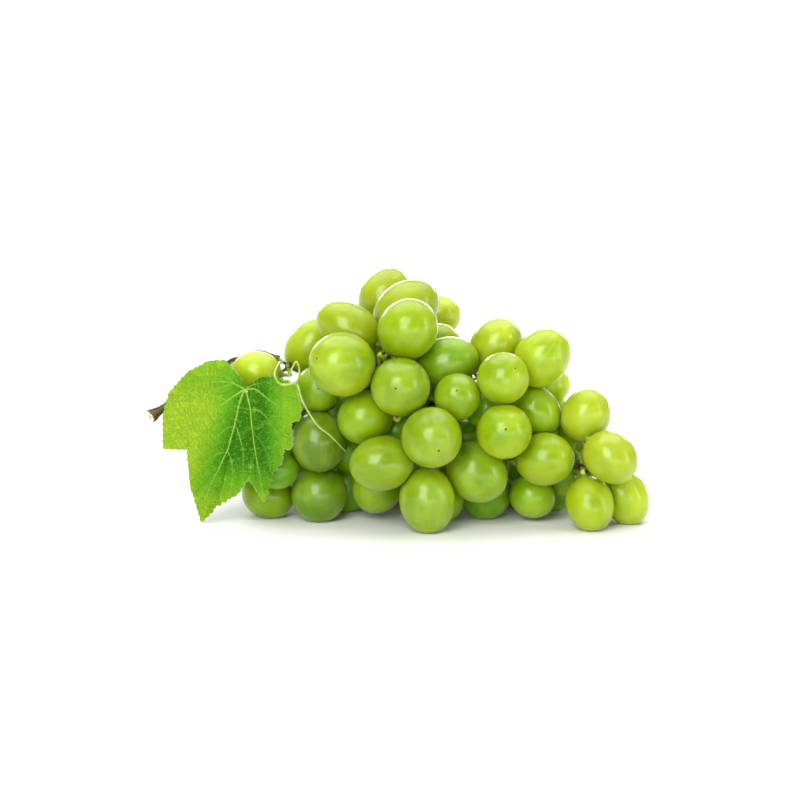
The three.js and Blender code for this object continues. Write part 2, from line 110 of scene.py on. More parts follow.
# Each spray: the x at which it leaves the rachis, its knob, and its berries as centre, length,
# width and, where one is given, its aim.
sprays = {
    "crown_front": (-14, (-6, -26, 63), [
        (-22, -38, 64.5, 26.3, 24, (-0.68, -0.68, 0.27)),
        (3, -31, 77.1, 24, 22.3, (0.58, -0.3, 0.75)),
        (-20.2, -20, 76.3, 25.5, 18.8, (-0.85, 0.1, 0.45)),
        (2.4, -9, 82.3, 27, 21.3, (0.8, 0, 0.55)),
    ]),
    "crown_top": (-3, (0, 4, 68), [
        (-5.9, 11, 84.6, 23.5, 18.4, (0.55, 0.1, 0.75)),
        (15.6, 30, 74.2, 17, 16),
        (14.5, 5, 64.4, 18, 17.5),
        (-35.6, 1, 66.3, 24, 17, (-0.64, 0, -0.77)),
    ]),
    "middle_front": (8, (8, -22, 50), [
        (0, -41, 56, 22.5, 22, (-0.15, -1, 0.1)),
        (17.9, -23, 60.3, 25, 19.5, (0.95, -0.1, 0.3)),
        (20.7, -35, 52, 18.3, 17.4, (-0.05, -0.95, 0.4)),
        (12, -12, 51.5, 18, 17),
        (-1, -18, 35.5, 20, 19),
    ]),
    "belly_front": (13, (8, -26, 29), [
        (12.9, -44, 39.6, 22.8, 22.4, (0.2, -0.9, -0.24)),
        (-6.9, -40, 27.6, 24.6, 20.4, (-0.9, -0.25, -0.12)),
        (10.3, -39, 13, 25.8, 21, (0.1, -0.2, -1)),
        (17.3, -21, 9.5, 20, 19),
        (-8.8, -19, 12.5, 20, 18.7),
    ]),
    "right_top": (27, (42, -18, 52), [
        (39.2, -38, 58.6, 20, 19.4, (0.4, -0.8, 0.47)),
        (37.8, -15, 68.9, 21.5, 19.2, (0.5, -0.1, 0.7)),
        (54.5, -26, 64.8, 24, 20.5, (0.6, -0.1, 0.75)),
        (52.3, -24, 44.3, 22.3, 17.9, (0.65, -0.2, -0.65)),
        (58.8, -8, 51.2, 16, 15),
        (35, -20, 44, 17.5, 17),
    ]),
    "right_front": (34, (44, -18, 24), [
        (39.4, -40, 39, 21.2, 20.6, (0, -1, 0.25)),
        (55.8, -32, 27.4, 22.8, 20, (0.9, -0.42, 0.12)),
        (29.6, -34, 22.5, 25.3, 22.2, (0.76, -0.3, -0.54)),
        (50, -18, 10, 18, 16.5, (0.8, -0.35, -0.5)),
        (34.5, -20, 9.5, 20, 19),
        (61, -5, 9.5, 18, 17.5),
        (28, -12, 34, 19, 18),
    ]),
    "tip": (70, (74, -26.5, 21), [
        (71.8, -24, 40.3, 21.5, 18.5, (0.3, -0.2, 0.9)),
        (80, -34, 29.7, 22, 18.8, (0.68, -0.42, -0.52)),
        (87.9, -26, 11.2, 22.5, 17.4, (0.4, -0.1, -0.9)),
        (73.4, -36, 11, 21.8, 18, (0.18, -0.5, -0.8)),
        (65, -13, 18, 16, 15.5),
        (69.5, -14, 32.5, 17, 16.5),
        (62.5, -5, 39, 14, 13),
    ]),
    "left_front": (-36, (-27, -14, 44), [
        (-31.8, -22, 52.3, 19, 17.7),
        (-14.6, -31, 40.9, 21.8, 19.8, (-0.75, -0.4, -0.45)),
        (-30.6, -24, 32.2, 23.2, 21.3, (0, -0.3, -1)),
        (-24, -8, 42, 16, 15.5),
    ]),
    "left_foot": (-29, (-32, -10, 24), [
        (-31.6, -19, 11, 22, 21.3),
        (-21.5, -3, 10, 21, 20.5),
        (-52.2, -16, 10.8, 21.5, 18.8, (0.7, -0.45, -0.55)),
        (-46.7, -22.5, 21.8, 16.5, 16),
        (-21, -11, 27, 18, 17),
    ]),
    "wing": (-44, (-44.5, -10, 58.8), [
        (-56.2, -14, 58.1, 18.9, 15.8, (-1, 0, 0.1)),
        (-54.5, -3, 50.5, 16.5, 15.5),
    ]),
    "rear_left": (-22, (-32, 14, 42), []),
    "rear_crown": (-8, (-8, 18, 64), []),
    "rear_middle": (3, (0, 20, 34), []),
    "rear_shoulder": (20, (28, 14, 52), []),
    "rear_right": (41, (36, 14, 25), []),
    "rear_tip": (56, (62, 3, 24), []),
}


def plus(a, b, share=1.0):
    return (a[0] + b[0] * share, a[1] + b[1] * share, a[2] + b[2] * share)


def minus(a, b):
    return (a[0] - b[0], a[1] - b[1], a[2] - b[2])


def dot(a, b):
    return a[0] * b[0] + a[1] * b[1] + a[2] * b[2]


def size(a):
    return math.sqrt(dot(a, a))


def unit(a):
    length = size(a)
    return (a[0] / length, a[1] / length, a[2] / length)


def mix(a, b, share):
    return plus(a, minus(b, a), share)


def clamp(value, low=0.0, high=1.0):
    return max(low, min(high, value))


def randomNumbers(seed):
    state = seed
    while True:
        state = (state * 16807) % 2147483647
        yield state / 2147483647


def rachisAt(x):
    last = len(rachis) - 2
    i = next(n for n in range(last + 1) if n == last or x <= rachis[n + 1][0])
    start, end = rachis[i], rachis[i + 1]
    return mix(start, end, clamp((x - start[0]) / (end[0] - start[0])))


def nearestOn(point, start, end):
    along = minus(end, start)
    share = clamp(dot(minus(point, start), along) / dot(along, along))
    return plus(start, along, share), share


def reach(berry, direction):
    along = dot(berry["axis"], direction) ** 2
    long, wide = berry["length"] / 2, berry["width"] / 2
    return 1 / math.sqrt(along / long ** 2 + (1 - along) / wide ** 2)


def newBerry(row, spray, seen):
    return {
        "centre": tuple(row[:3]),
        "home": tuple(row[:3]),
        "length": row[3],
        "width": row[4],
        "axis": unit(row[5]) if len(row) > 5 else None,
        "aimed": len(row) > 5,
        "spray": spray,
        "ease": plan["seenEase"] if seen else plan["rearEase"],
        "pull": plan["seenPull"] if seen else plan["rearPull"],
    }


def rearBerries(knobs):
    random = randomNumbers(plan["seed"])
    rear = [name for name in knobs if name.startswith("rear")]
    quarter = math.pi / 2 - plan["rearStart"]
    bottom = plan["berryBottom"]
    places = []
    for row, (x, top, depth) in enumerate(plan["rearRows"]):
        rise = top - bottom
        stretch = quarter * math.hypot(rise, depth) * math.sqrt(0.5)
        count = max(2, math.floor(stretch / plan["rearPitch"] + 0.5) + 1)
        for i in range(count):
            shift = 0.5 if row % 2 else 0
            angle = plan["rearStart"] + quarter * (i + shift) / (count - 0.5)
            height = bottom + rise * math.cos(angle)
            aside = plan["rearSpread"] * (next(random) - 0.5)
            places.append((x + aside, depth * math.sin(angle), max(bottom, height)))
    acrosses, depth = plan["underside"]
    places += [(x, depth, bottom) for x in acrosses]
    places += plan["heart"]
    made = []
    for place in places:
        low, high = plan["rearLength"]
        length = low + (high - low) * next(random)
        slim, full = plan["rearSlimness"]
        width = length * (slim + (full - slim) * next(random))
        spray = min(rear, key=lambda name: size(minus(knobs[name][1], place)))
        made.append(newBerry((*place, length, width), spray, False))
    return made


def move(berry, direction, distance):
    each = zip(berry["centre"], berry["ease"], direction)
    berry["centre"] = tuple(place + ease * along * distance for place, ease, along in each)


def pushApart(one, other):
    away = minus(other["centre"], one["centre"])
    distance = size(away)
    if distance > plan["farApart"]:
        return
    direction = unit(away)
    short = reach(one, direction) + reach(other, direction) + plan["berryGap"] - distance
    if short <= 0:
        return
    give = sum(d * d * (a + b) for d, a, b in zip(direction, one["ease"], other["ease"]))
    move(one, direction, -plan["pairPush"] * short / give)
    move(other, direction, plan["pairPush"] * short / give)


def pushOff(berry, stem):
    start, end, radius = stem
    away = minus(berry["centre"], nearestOn(berry["centre"], start, end)[0])
    distance = size(away)
    direction = unit(away)
    short = reach(berry, direction) + radius + plan["stemClear"] - distance
    if short > 0:
        move(berry, direction, plan["stemPush"] * short)


def aim(berry, knobs):
    if berry["aimed"]:
        return
    start, knob = knobs[berry["spray"]]
    share = nearestOn(berry["centre"], start, knob)[1]
    root = mix(start, knob, max(plan["bareStalk"], share - plan["aimLead"]))
    berry["axis"] = unit(minus(berry["centre"], root))


def settled():
    knobs = {name: (rachisAt(root), tip) for name, (root, tip, _) in sprays.items()}
    berries = [newBerry(row, name, True) for name, (_, _, rows) in sprays.items() for row in rows]
    berries += rearBerries(knobs)
    stems = []
    for points, radius in (
        (rachis, plan["rachisRadius"]),
        (cane, plan["caneRadius"]),
        (petiole, plan["petioleRadius"]),
    ):
        stems += [(a, b, radius) for a, b in zip(points, points[1:])]
    stems += [(start, knob, plan["stalkRadius"]) for start, knob in knobs.values()]
    for turn in range(plan["rounds"]):
        for berry in berries:
            aim(berry, knobs)
        for i, one in enumerate(berries):
            for other in berries[i + 1:]:
                pushApart(one, other)
        for berry in berries:
            for stem in stems:
                pushOff(berry, stem)
            if turn < plan["rounds"] - plan["lastFreeRounds"]:
                berry["centre"] = mix(berry["centre"], berry["home"], berry["pull"])
            along = berry["axis"][2] ** 2
            long, wide = berry["length"] / 2, berry["width"] / 2
            low = math.sqrt(along * long ** 2 + (1 - along) * wide ** 2)
            if berry["centre"][2] < low + plan["floorReach"]:
                berry["centre"] = (*berry["centre"][:2], low - plan["floorPress"])
    return berries, knobs


berries, knobs = settled()
print("berries settled:", len(berries))


def hexColour(text):
    parts = [int(text[i:i + 2], 16) / 255 for i in (1, 3, 5)]
    return (*[c / 12.92 if c <= 0.04045 else ((c + 0.055) / 1.055) ** 2.4 for c in parts], 1.0)


def addNode(tree, kind, inputs=None, **settings):
    made = tree.nodes.new(kind)
    for name, value in settings.items():
        setattr(made, name, value)
    for key, value in (inputs or {}).items():
        socket = made.inputs[key] if isinstance(key, int) else next(
            s for s in made.inputs if s.name == key and s.enabled
        )
        if isinstance(value, bpy.types.NodeSocket):
            tree.links.new(value, socket)
        else:
            socket.default_value = value
    return made


def out(made, name=None):
    return next(s for s in made.outputs if s.enabled and name in (None, s.name))


def placed(points):
    shift = np.array([*plan["boxMiddle"], 0.0])
    return (np.asarray(points, dtype=float) - shift) * millimetre


def newObject(name, mesh):
    made = bpy.data.objects.new(name, mesh)
    bpy.context.scene.collection.objects.link(made)
    return made


def setAttribute(mesh, name, values, kind="FLOAT"):
    layer = mesh.attributes.new(name, kind, "POINT")
    field = "vector" if kind == "FLOAT_VECTOR" else "value"
    layer.data.foreach_set(field, np.asarray(values).ravel())


def readAttribute(mesh, name, kind=float):
    values = np.empty(len(mesh.vertices), dtype=kind)
    mesh.attributes[name].data.foreach_get("value", values)
    return values


def positions(mesh):
    values = np.empty(len(mesh.vertices) * 3)
    mesh.vertices.foreach_get("co", values)
    return values.reshape(-1, 3)


def baked(name, source, tree, settings):
    # Runs a tree on an object and keeps the result as its plain mesh
    modifier = source.modifiers.new("nodes", "NODES")
    modifier.node_group = tree
    for socket in tree.interface.items_tree:
        if socket.item_type == "SOCKET" and socket.in_out == "INPUT" and socket.name in settings:
            modifier[socket.identifier] = settings[socket.name]
    graph = bpy.context.evaluated_depsgraph_get()
    mesh = bpy.data.meshes.new_from_object(source.evaluated_get(graph), depsgraph=graph)
    source.modifiers.clear()
    old = source.data
    source.data = mesh
    bpy.data.meshes.remove(old)
    source.name = name
    mesh.name = name
    return source


def newTree(name, inputs):
    # An input's kind follows its default: "" stands for an object and () for a material
    kinds = {
        float: "NodeSocketFloat", int: "NodeSocketInt",
        str: "NodeSocketObject", tuple: "NodeSocketMaterial",
    }
    tree = bpy.data.node_groups.new(name, "GeometryNodeTree")
    sockets = tree.interface
    sockets.new_socket("Geometry", in_out="INPUT", socket_type="NodeSocketGeometry")
    for label, value in inputs.items():
        socket = sockets.new_socket(label, in_out="INPUT", socket_type=kinds[type(value)])
        if isinstance(value, (int, float)):
            socket.default_value = value
    sockets.new_socket("Geometry", in_out="OUTPUT", socket_type="NodeSocketGeometry")
    return tree, tree.nodes.new("NodeGroupInput"), tree.nodes.new("NodeGroupOutput")


def attributeNode(tree, name, kind="FLOAT"):
    return out(addNode(tree, "GeometryNodeInputNamedAttribute", {"Name": name}, data_type=kind))


def newMaterial(name, shader):
    made = bpy.data.materials.new(name)
    made.use_nodes = True
    tree = made.node_tree
    principled = tree.nodes["Principled BSDF"]
    for key, value in shader.items():
        principled.inputs[key].default_value = value
    return made, tree, principled


def mixColour(tree, share, first, second):
    made = addNode(tree, "ShaderNodeMix", {"Factor": share}, data_type="RGBA")
    for key, value in ((6, first), (7, second)):
        if isinstance(value, bpy.types.NodeSocket):
            tree.links.new(value, made.inputs[key])
        else:
            made.inputs[key].default_value = hexColour(value)
    return made.outputs[2]


def layered(tree, colour, *layers):
    # Lays more colours over the first one, each by its share
    for share, over in layers:
        colour = mixColour(tree, share, colour, over)
    return colour


def spread(tree, value, low, high, toLow=0.0, toHigh=1.0):
    return out(addNode(
        tree, "ShaderNodeMapRange",
        {"Value": value, "From Min": low, "From Max": high, "To Min": toLow, "To Max": toHigh},
        interpolation_type="SMOOTHSTEP",
    ))


def calculate(tree, operation, first, second=0.0):
    return out(addNode(tree, "ShaderNodeMath", {0: first, 1: second}, operation=operation))


def times(tree, first, second):
    return calculate(tree, "MULTIPLY", first, second)


def scaled(tree, vector, scale):
    return out(addNode(
        tree, "ShaderNodeVectorMath", {0: vector, "Scale": scale}, operation="SCALE",
    ))


def shaderAttribute(tree, name, output="Fac"):
    return out(addNode(tree, "ShaderNodeAttribute", attribute_name=name), output)


def noise(tree, vector, perMillimetre, detail=2.0, roughness=0.5):
    return out(addNode(tree, "ShaderNodeTexNoise", {
        "Vector": vector, "Scale": perMillimetre, "Detail": detail, "Roughness": roughness,
    }), "Fac")


def stretched(tree, vector, scale):
    return out(addNode(tree, "ShaderNodeMapping", {"Vector": vector, "Scale": scale}))


def objectPlace(tree):
    # Object coordinates, in millimetres
    return scaled(tree, out(addNode(tree, "ShaderNodeTexCoord"), "Object"), 1 / millimetre)


def paint(tree, principled, colour, height, distance, strength):
    # The colour, and fine relief that stands as many millimetres high as the distance says
    tree.links.new(colour, principled.inputs["Base Color"])
    relief = addNode(tree, "ShaderNodeBump", {
        "Height": height, "Distance": distance * millimetre, "Strength": strength,
    })
    tree.links.new(out(relief), principled.inputs["Normal"])


def roughened(tree, geometry, unevenness, perMillimetre, detail):
    # Moves a surface in and out along its normals, by the unevenness in millimetres at most
    place = scaled(tree, out(addNode(tree, "GeometryNodeInputPosition")), 1 / millimetre)
    centred = calculate(tree, "SUBTRACT", noise(tree, place, perMillimetre, detail), 0.5)
    metres = times(tree, times(tree, centred, unevenness), 2 * millimetre)
    push = scaled(tree, out(addNode(tree, "GeometryNodeInputNormal")), metres)
    moved = addNode(tree, "GeometryNodeSetPosition", {"Geometry": geometry, "Offset": push})
    return out(addNode(tree, "GeometryNodeSetShadeSmooth", {
        "Geometry": out(moved), "Shade Smooth": True,
    }))


def closeTree(tree, geometry, given, result):
    real = addNode(tree, "GeometryNodeRealizeInstances", {"Geometry": geometry})
    skinned = addNode(tree, "GeometryNodeSetMaterial", {
        "Geometry": out(real), "Material": out(given, "Skin"),
    })
    tree.links.new(out(skinned), result.inputs[0])


grapeLook = {
    "green": "#558406",
    "ripe": "#8c9c04",
    "pale": "#aab03c",
    "deep": "#406e02",
    "stripe": "#a9ba2c",
    "bloom": "#b4c470",
    "scar": "#2e2410",
    "scarHalo": "#a5b43a",
    "stemEnd": "#9aa636",
    "freckle": "#7d8a1e",
    "deepShare": 0.35,
    "stripeShare": 0.12,
    "bloomShare": 0.25,
    "freckleShare": 0.12,
    "haloShare": 0.4,
    "stemEndShare": 0.6,
    "scatter": 14.0,  # how far light runs in the flesh
    "roughness": 0.34,
    "bloomRoughness": 0.6,  # added where the bloom is full
    "coatRoughness": 0.18,
    # How ripe the berries of each spray are, in the order of its list (0 green, 1 ripe, 2 pale),
    # and how light their flesh is. The lightness is painted light and painted shade: below 1 it
    # darkens berries that lie in shade, mostly low on the left, and above 1 it brightens ones
    # hidden among others. The ripeness is partly painted too: pale for light shining through the
    # top berries, greener for shaded ones.
    "flesh": {
        "crown_front": ((0.9, 1), (0.9, 1), (1.2, 0.9), (1.5, 0.9)),
        "crown_top": ((1.7, 0.95), (1.7, 1.2), (1, 1.15), (1.1, 1.1)),
        "middle_front": ((0.8, 0.9), (0.4, 1), (0.65, 0.95), (0.6, 1), (0.1, 1.4)),
        "belly_front": ((0.8, 0.9), (0.75, 0.9), (0.75, 1), (0.5, 1.1), (0.6, 1.1)),
        "right_top": ((0.95, 1), (1.4, 1.05), (1.1, 1.15), (0.7, 1.2), (1.4, 1.6), (0.15, 1.5)),
        "right_front": (
            (0.9, 1.1), (0.95, 1), (0.6, 0.95), (0.65, 1.25), (0.2, 1.25), (0.3, 1.2), (0.1, 1.4),
        ),
        "tip": ((1.4, 1), (1.4, 0.95), (1.25, 1.2), (1.1, 1.05), (0.6, 1.35), (0.6, 1.4)),
        "left_front": ((0.5, 1.1), (0.65, 1.05), (0.45, 0.7), (0.3, 1.5)),
        "left_foot": ((0.3, 0.8), (0.15, 1.35), (0.5, 1.05), (0.1, 1), (0.15, 1.25)),
        "wing": ((1.3, 1.2), (0.15, 1.1)),
        "rear_left": ((0.2, 0.95),),
    },
    # The others are riper higher up and further back, and greener low down and where they are
    # crowded: partly ripeness, partly painted shade on the lower and inner berries. Crowded ones
    # also get lighter flesh, which is painted light that makes up for the shade they lie in.
    "restRipe": 0.4,
    "ripeAndPaintedShadeByHeight": 0.014,
    "ripeByDepth": 0.02,
    "ripeAndPaintedShadeByCrowd": -0.3,
    "ripeByChance": 0.3,
    "restPaintedLight": 1.15,
    "paintedLightByCrowd": 0.25,
}


def grapeSkin():
    # The waxed skin of a ripe white grape over clear flesh: light goes in, scatters in the
    # yellow-green and comes out nearby. The wax blurs the reflection and lays a pale haze over
    # it, and its smooth outer face gives each berry a soft, bright highlight.
    made, tree, principled = newMaterial("waxed_grape_skin", {
        "IOR": 1.37, "Specular IOR Level": 0.45, "Specular Tint": (0.75, 1.0, 0.3, 1.0),
        "Subsurface Weight": 1.0, "Subsurface Scale": grapeLook["scatter"] * millimetre,
        "Subsurface Radius": (0.9, 1.1, 0.12), "Subsurface Anisotropy": 0.8,
        "Coat Weight": 0.75, "Coat Roughness": grapeLook["coatRoughness"], "Coat IOR": 1.4,
    })
    place = objectPlace(tree)
    ripe = shaderAttribute(tree, "ripe")
    tip = shaderAttribute(tree, "tipAngle")
    meridian = out(addNode(tree, "ShaderNodeVectorMath", {
        0: shaderAttribute(tree, "meridian", "Vector"), 1: shaderAttribute(tree, "luck"),
    }, operation="ADD"))

    deep = spread(tree, noise(tree, place, 0.06), 0.4, 0.75, 0.0, grapeLook["deepShare"])
    stripes = spread(tree, noise(tree, stretched(tree, meridian, (5, 5, 0.6)), 1.3), 0.4, 0.7)
    stripes = times(tree, stripes, grapeLook["stripeShare"])
    # Ripeness mixes green, ripe and pale; its values carry some painted light and painted shade
    flesh = layered(
        tree, grapeLook["green"], (ripe, grapeLook["ripe"]),
        (calculate(tree, "SUBTRACT", ripe, 1.0), grapeLook["pale"]), (deep, grapeLook["deep"]),
        (times(tree, stripes, spread(tree, tip, 0.2, 0.8)), grapeLook["stripe"]),
    )
    haze = spread(tree, noise(tree, place, 0.11, 3.0), 0.35, 0.7)
    wax = times(tree, haze, shaderAttribute(tree, "bloom"))
    wax = times(tree, wax, grapeLook["bloomShare"])
    cells = out(addNode(tree, "ShaderNodeTexVoronoi", {"Vector": place, "Scale": 0.4}), "Distance")
    stemEnd = spread(tree, tip, math.pi - 0.35, math.pi - 0.14, 0.0, grapeLook["stemEndShare"])
    # The flesh is scaled by each berry's painted light: brighter for berries hidden among others,
    # darker as painted shade for those in shade
    skin = layered(
        tree, scaled(tree, flesh, shaderAttribute(tree, "light")), (wax, grapeLook["bloom"]),
        (spread(tree, cells, 0.05, 0.09, grapeLook["freckleShare"], 0.0), grapeLook["freckle"]),
        (spread(tree, tip, 0.03, 0.12, grapeLook["haloShare"], 0.0), grapeLook["scarHalo"]),
        (spread(tree, tip, 0.034, 0.046, 1.0, 0.0), grapeLook["scar"]),
        (stemEnd, grapeLook["stemEnd"]),
    )
    dulled = times(tree, wax, grapeLook["bloomRoughness"])
    gloss = calculate(tree, "ADD", dulled, grapeLook["roughness"])
    tree.links.new(gloss, principled.inputs["Roughness"])
    paint(tree, principled, skin, noise(tree, place, 0.5), 0.04, 0.4)
    return made


stemLook = {
    "green": "#8ea82c",
    "shade": "#6a841c",
    "brown": "#45300f",
    "torn": "#c8d450",
    "bark": "#85764a",
    "barkCrack": "#241c0c",
    "barkPatch": "#4a3f20",
    "barkFresh": "#6f7c2c",
    "wood": "#f2efd6",
    "woodRay": "#c9c58c",
    "pith": "#a39c5c",
    "woodRim": "#8d8850",
}


def greenStem():
    # Young green stem tissue, that turns brown and corky at its joints and pale at the torn ends
    # of the broken stubs, a pale that is partly painted light so that they stand out. Light enters
    # it a little way, so that it looks juicy.
    made, tree, principled = newMaterial("ribbed_green_stem", {
        "Roughness": 0.5, "IOR": 1.45, "Subsurface Weight": 0.2,
        "Subsurface Scale": 0.8 * millimetre, "Subsurface Radius": (1.0, 1.0, 0.3),
    })
    place = objectPlace(tree)
    brown = shaderAttribute(tree, "brown")
    rough = noise(tree, place, 1.8, 3.0, 0.7)
    cork = spread(tree, calculate(tree, "ADD", brown, times(tree, rough, 0.5)), 0.5, 0.85)
    colour = layered(
        tree, stemLook["green"],
        (spread(tree, noise(tree, place, 0.35, 3.0), 0.35, 0.7), stemLook["shade"]),
        (spread(tree, brown, -0.5, -0.1, 1.0, 0.0), stemLook["torn"]), (cork, stemLook["brown"]),
    )
    paint(tree, principled, colour, rough, 0.12, 0.6)
    return made


def woodyBark():
    # One-year-old shoot: thin, dry, matt brown bark with long cracks and fibres.
    made, tree, principled = newMaterial("fibrous_shoot_bark", {
        "Roughness": 0.75, "IOR": 1.45, "Specular IOR Level": 0.2,
    })
    skin = out(addNode(tree, "ShaderNodeUVMap", uv_map="skin"))
    fibres = noise(tree, stretched(tree, skin, (26, 1.2, 1)), 1.0, 5.0, 0.65)
    patches = spread(tree, noise(tree, objectPlace(tree), 0.22, 3.0), 0.45, 0.7, 0.0, 0.7)
    colour = layered(
        tree, stemLook["barkCrack"], (spread(tree, fibres, 0.35, 0.7), stemLook["bark"]),
        (patches, stemLook["barkPatch"]), (shaderAttribute(tree, "fresh"), stemLook["barkFresh"]),
    )
    paint(tree, principled, colour, fibres, 0.25, 0.8)
    return made


def cutWood():
    # The pruned end: dry, dull, pale wood round a darker pith.
    made, tree, principled = newMaterial("cut_shoot_wood", {"Roughness": 0.85, "IOR": 1.45})
    rim = shaderAttribute(tree, "rim")
    rays = noise(tree, objectPlace(tree), 2.6, 4.0, 0.7)
    colour = layered(
        tree, stemLook["wood"], (spread(tree, rays, 0.35, 0.7), stemLook["woodRay"]),
        (spread(tree, rim, 0.12, 0.32, 1.0, 0.0), stemLook["pith"]),
        (spread(tree, rim, 0.82, 1.0), stemLook["woodRim"]),
    )
    paint(tree, principled, colour, rays, 0.2, 0.8)
    return made


leafLook = {
    # deep is the green of painted shade in the middle of the blade, fresh the yellow-green of its
    # younger parts and of painted light on its left side
    "deep": "#106200",
    "upper": "#569e10",
    "fresh": "#a2c22c",
    "pale": "#bdd07e",
    "vein": "#80b838",
    "crease": "#7cb024",
    "grainShare": 0.11,
    "lineShare": 0.5,
    "netShare": 0.32,
}


def vineLeafBlade():
    # A young vine leaf: a thin, matt, felted blade, netted with fine veins, that glows a little.
    made, tree, principled = newMaterial("vine_leaf_blade", {
        "Roughness": 0.65, "Specular IOR Level": 0.05, "Subsurface Weight": 0.15,
        "Subsurface Scale": 1.0 * millimetre, "Subsurface Radius": (0.8, 1.0, 0.1),
    })
    place = objectPlace(tree)
    # Fine veins run from rib to rib like rungs
    rungs = addNode(tree, "ShaderNodeVectorMath", {
        0: shaderAttribute(tree, "venation", "Vector"), 1: (0.6, 0.16, 1.0),
    }, operation="MULTIPLY")
    ladder = calculate(tree, "SUBTRACT", noise(tree, out(rungs), 1.0, 1.0), 0.5)
    rung = spread(tree, calculate(tree, "ABSOLUTE", ladder), 0.0, 0.05, 1.0, 0.0)
    # The blade between them, paler where it is younger and where light is painted on it, and deep
    # green where shade is painted
    grain = noise(tree, place, 2.4, 2.0, 0.6)
    uneven = spread(tree, grain, 0.36, 0.64, -leafLook["grainShare"], leafLook["grainShare"])
    share = calculate(tree, "ADD", shaderAttribute(tree, "youngAndPaintedLight"), uneven)
    fine = mixColour(tree, spread(tree, share, 0.35, 0.85), leafLook["vein"], leafLook["crease"])
    # The net of the finest veins
    cells = addNode(
        tree, "ShaderNodeTexVoronoi", {"Vector": place, "Scale": 1.15}, feature="DISTANCE_TO_EDGE",
    )
    net = spread(tree, out(cells, "Distance"), 0.02, 0.14, 1.0, 0.0)
    down = times(tree, shaderAttribute(tree, "rim"), spread(tree, grain, 0.3, 0.6, 0.3, 1.0))
    colour = layered(
        tree, leafLook["deep"], (spread(tree, share, 0.0, 0.4), leafLook["upper"]),
        (spread(tree, share, 0.3, 1.0), leafLook["fresh"]),
        (times(tree, rung, leafLook["lineShare"]), fine),
        (times(tree, net, leafLook["netShare"]), fine),
        (shaderAttribute(tree, "vein"), leafLook["vein"]), (down, leafLook["pale"]),
    )
    low = calculate(tree, "SUBTRACT", grain, calculate(tree, "ADD", net, rung))
    paint(tree, principled, colour, low, 0.35, 1.0)
    return made


# Roughness, how far light runs in, patches to a millimetre, two greens and the colour of joints
tenderLook = {
    # The raised ribs and the petiole: firm, pale and smooth, and bleached where they meet
    "leaf_rib": (0.45, 0.8, 0.5, "#8fb436", "#7ba526", "#b9b268"),
    # Fresh, thin and a little shinier, with dry brown tips
    "young_tendril": (0.4, 0.7, 0.4, "#a3b95c", "#86a43a", "#7b5a30"),
}


def tenderSkin(name):
    # Smooth green tissue in two soft tones, with another colour at its joints and tips
    roughness, scatter, patches, green, shade, joint = tenderLook[name]
    made, tree, principled = newMaterial(name, {
        "Roughness": roughness, "IOR": 1.42, "Subsurface Weight": 0.3,
        "Subsurface Scale": scatter * millimetre, "Subsurface Radius": (1.0, 1.0, 0.4),
    })
    patchy = spread(tree, noise(tree, objectPlace(tree), patches), 0.35, 0.7)
    colour = layered(tree, green, (patchy, shade), (shaderAttribute(tree, "brown"), joint))
    tree.links.new(colour, principled.inputs["Base Color"])
    return made


skins = {
    "grape": grapeSkin(),
    "stem": greenStem(),
    "bark": woodyBark(),
    "cut": cutWood(),
    "leaf": vineLeafBlade(),
    "rib": tenderSkin("leaf_rib"),
    "tendril": tenderSkin("young_tendril"),
}
print("materials made")


def smoothPath(points, step):
    # A Catmull-Rom curve through the points, which comes back evenly spaced
    given = np.asarray(points, dtype=float)
    padded = np.vstack([2 * given[0] - given[1], given, 2 * given[-1] - given[-2]])
    fine = []
    for a, b, c, d in zip(padded, padded[1:], padded[2:], padded[3:]):
        t = np.linspace(0, 1, 24, endpoint=False)[:, None]  # 24 samples to each stretch
        fine.append(0.5 * (2 * b + (c - a) * t + (2 * a - 5 * b + 4 * c - d) * t ** 2
                           + (3 * b - a - 3 * c + d) * t ** 3))
    fine = np.vstack([*fine, given[-1:]])
    run = np.concatenate([[0], np.cumsum(np.linalg.norm(np.diff(fine, axis=0), axis=1))])
    places = np.linspace(0, run[-1], max(3, int(run[-1] / step) + 1))
    return np.column_stack([np.interp(places, run, fine[:, i]) for i in range(3)])


def distances(line, place):
    return np.linalg.norm(line - np.array(place), axis=1)


def bell(distance, width):
    # 1 at no distance, and next to nothing past twice the width
    return np.exp(-((distance / width) ** 2))


def fade(distance, length):
    return np.exp(-distance / length)


def alongRun(line, steps):
    # Values along a line, from pairs of share and value
    return np.interp(np.linspace(0, 1, len(line)), *zip(*steps))


def pathObject(name, paths):
    # paths: (points, radii, browns), each radius and brown at one point
    points = np.vstack([path[0] for path in paths])
    mesh = bpy.data.meshes.new(name)
    edges = []
    start = 0
    for path in paths:
        count = len(path[0])
        edges += [(start + i, start + i + 1) for i in range(count - 1)]
        start += count
    mesh.from_pydata(placed(points), edges, [])
    setAttribute(mesh, "thick", np.concatenate([path[1] for path in paths]) * millimetre)
    setAttribute(mesh, "brown", np.concatenate([path[2] for path in paths]))
    return newObject(name, mesh)


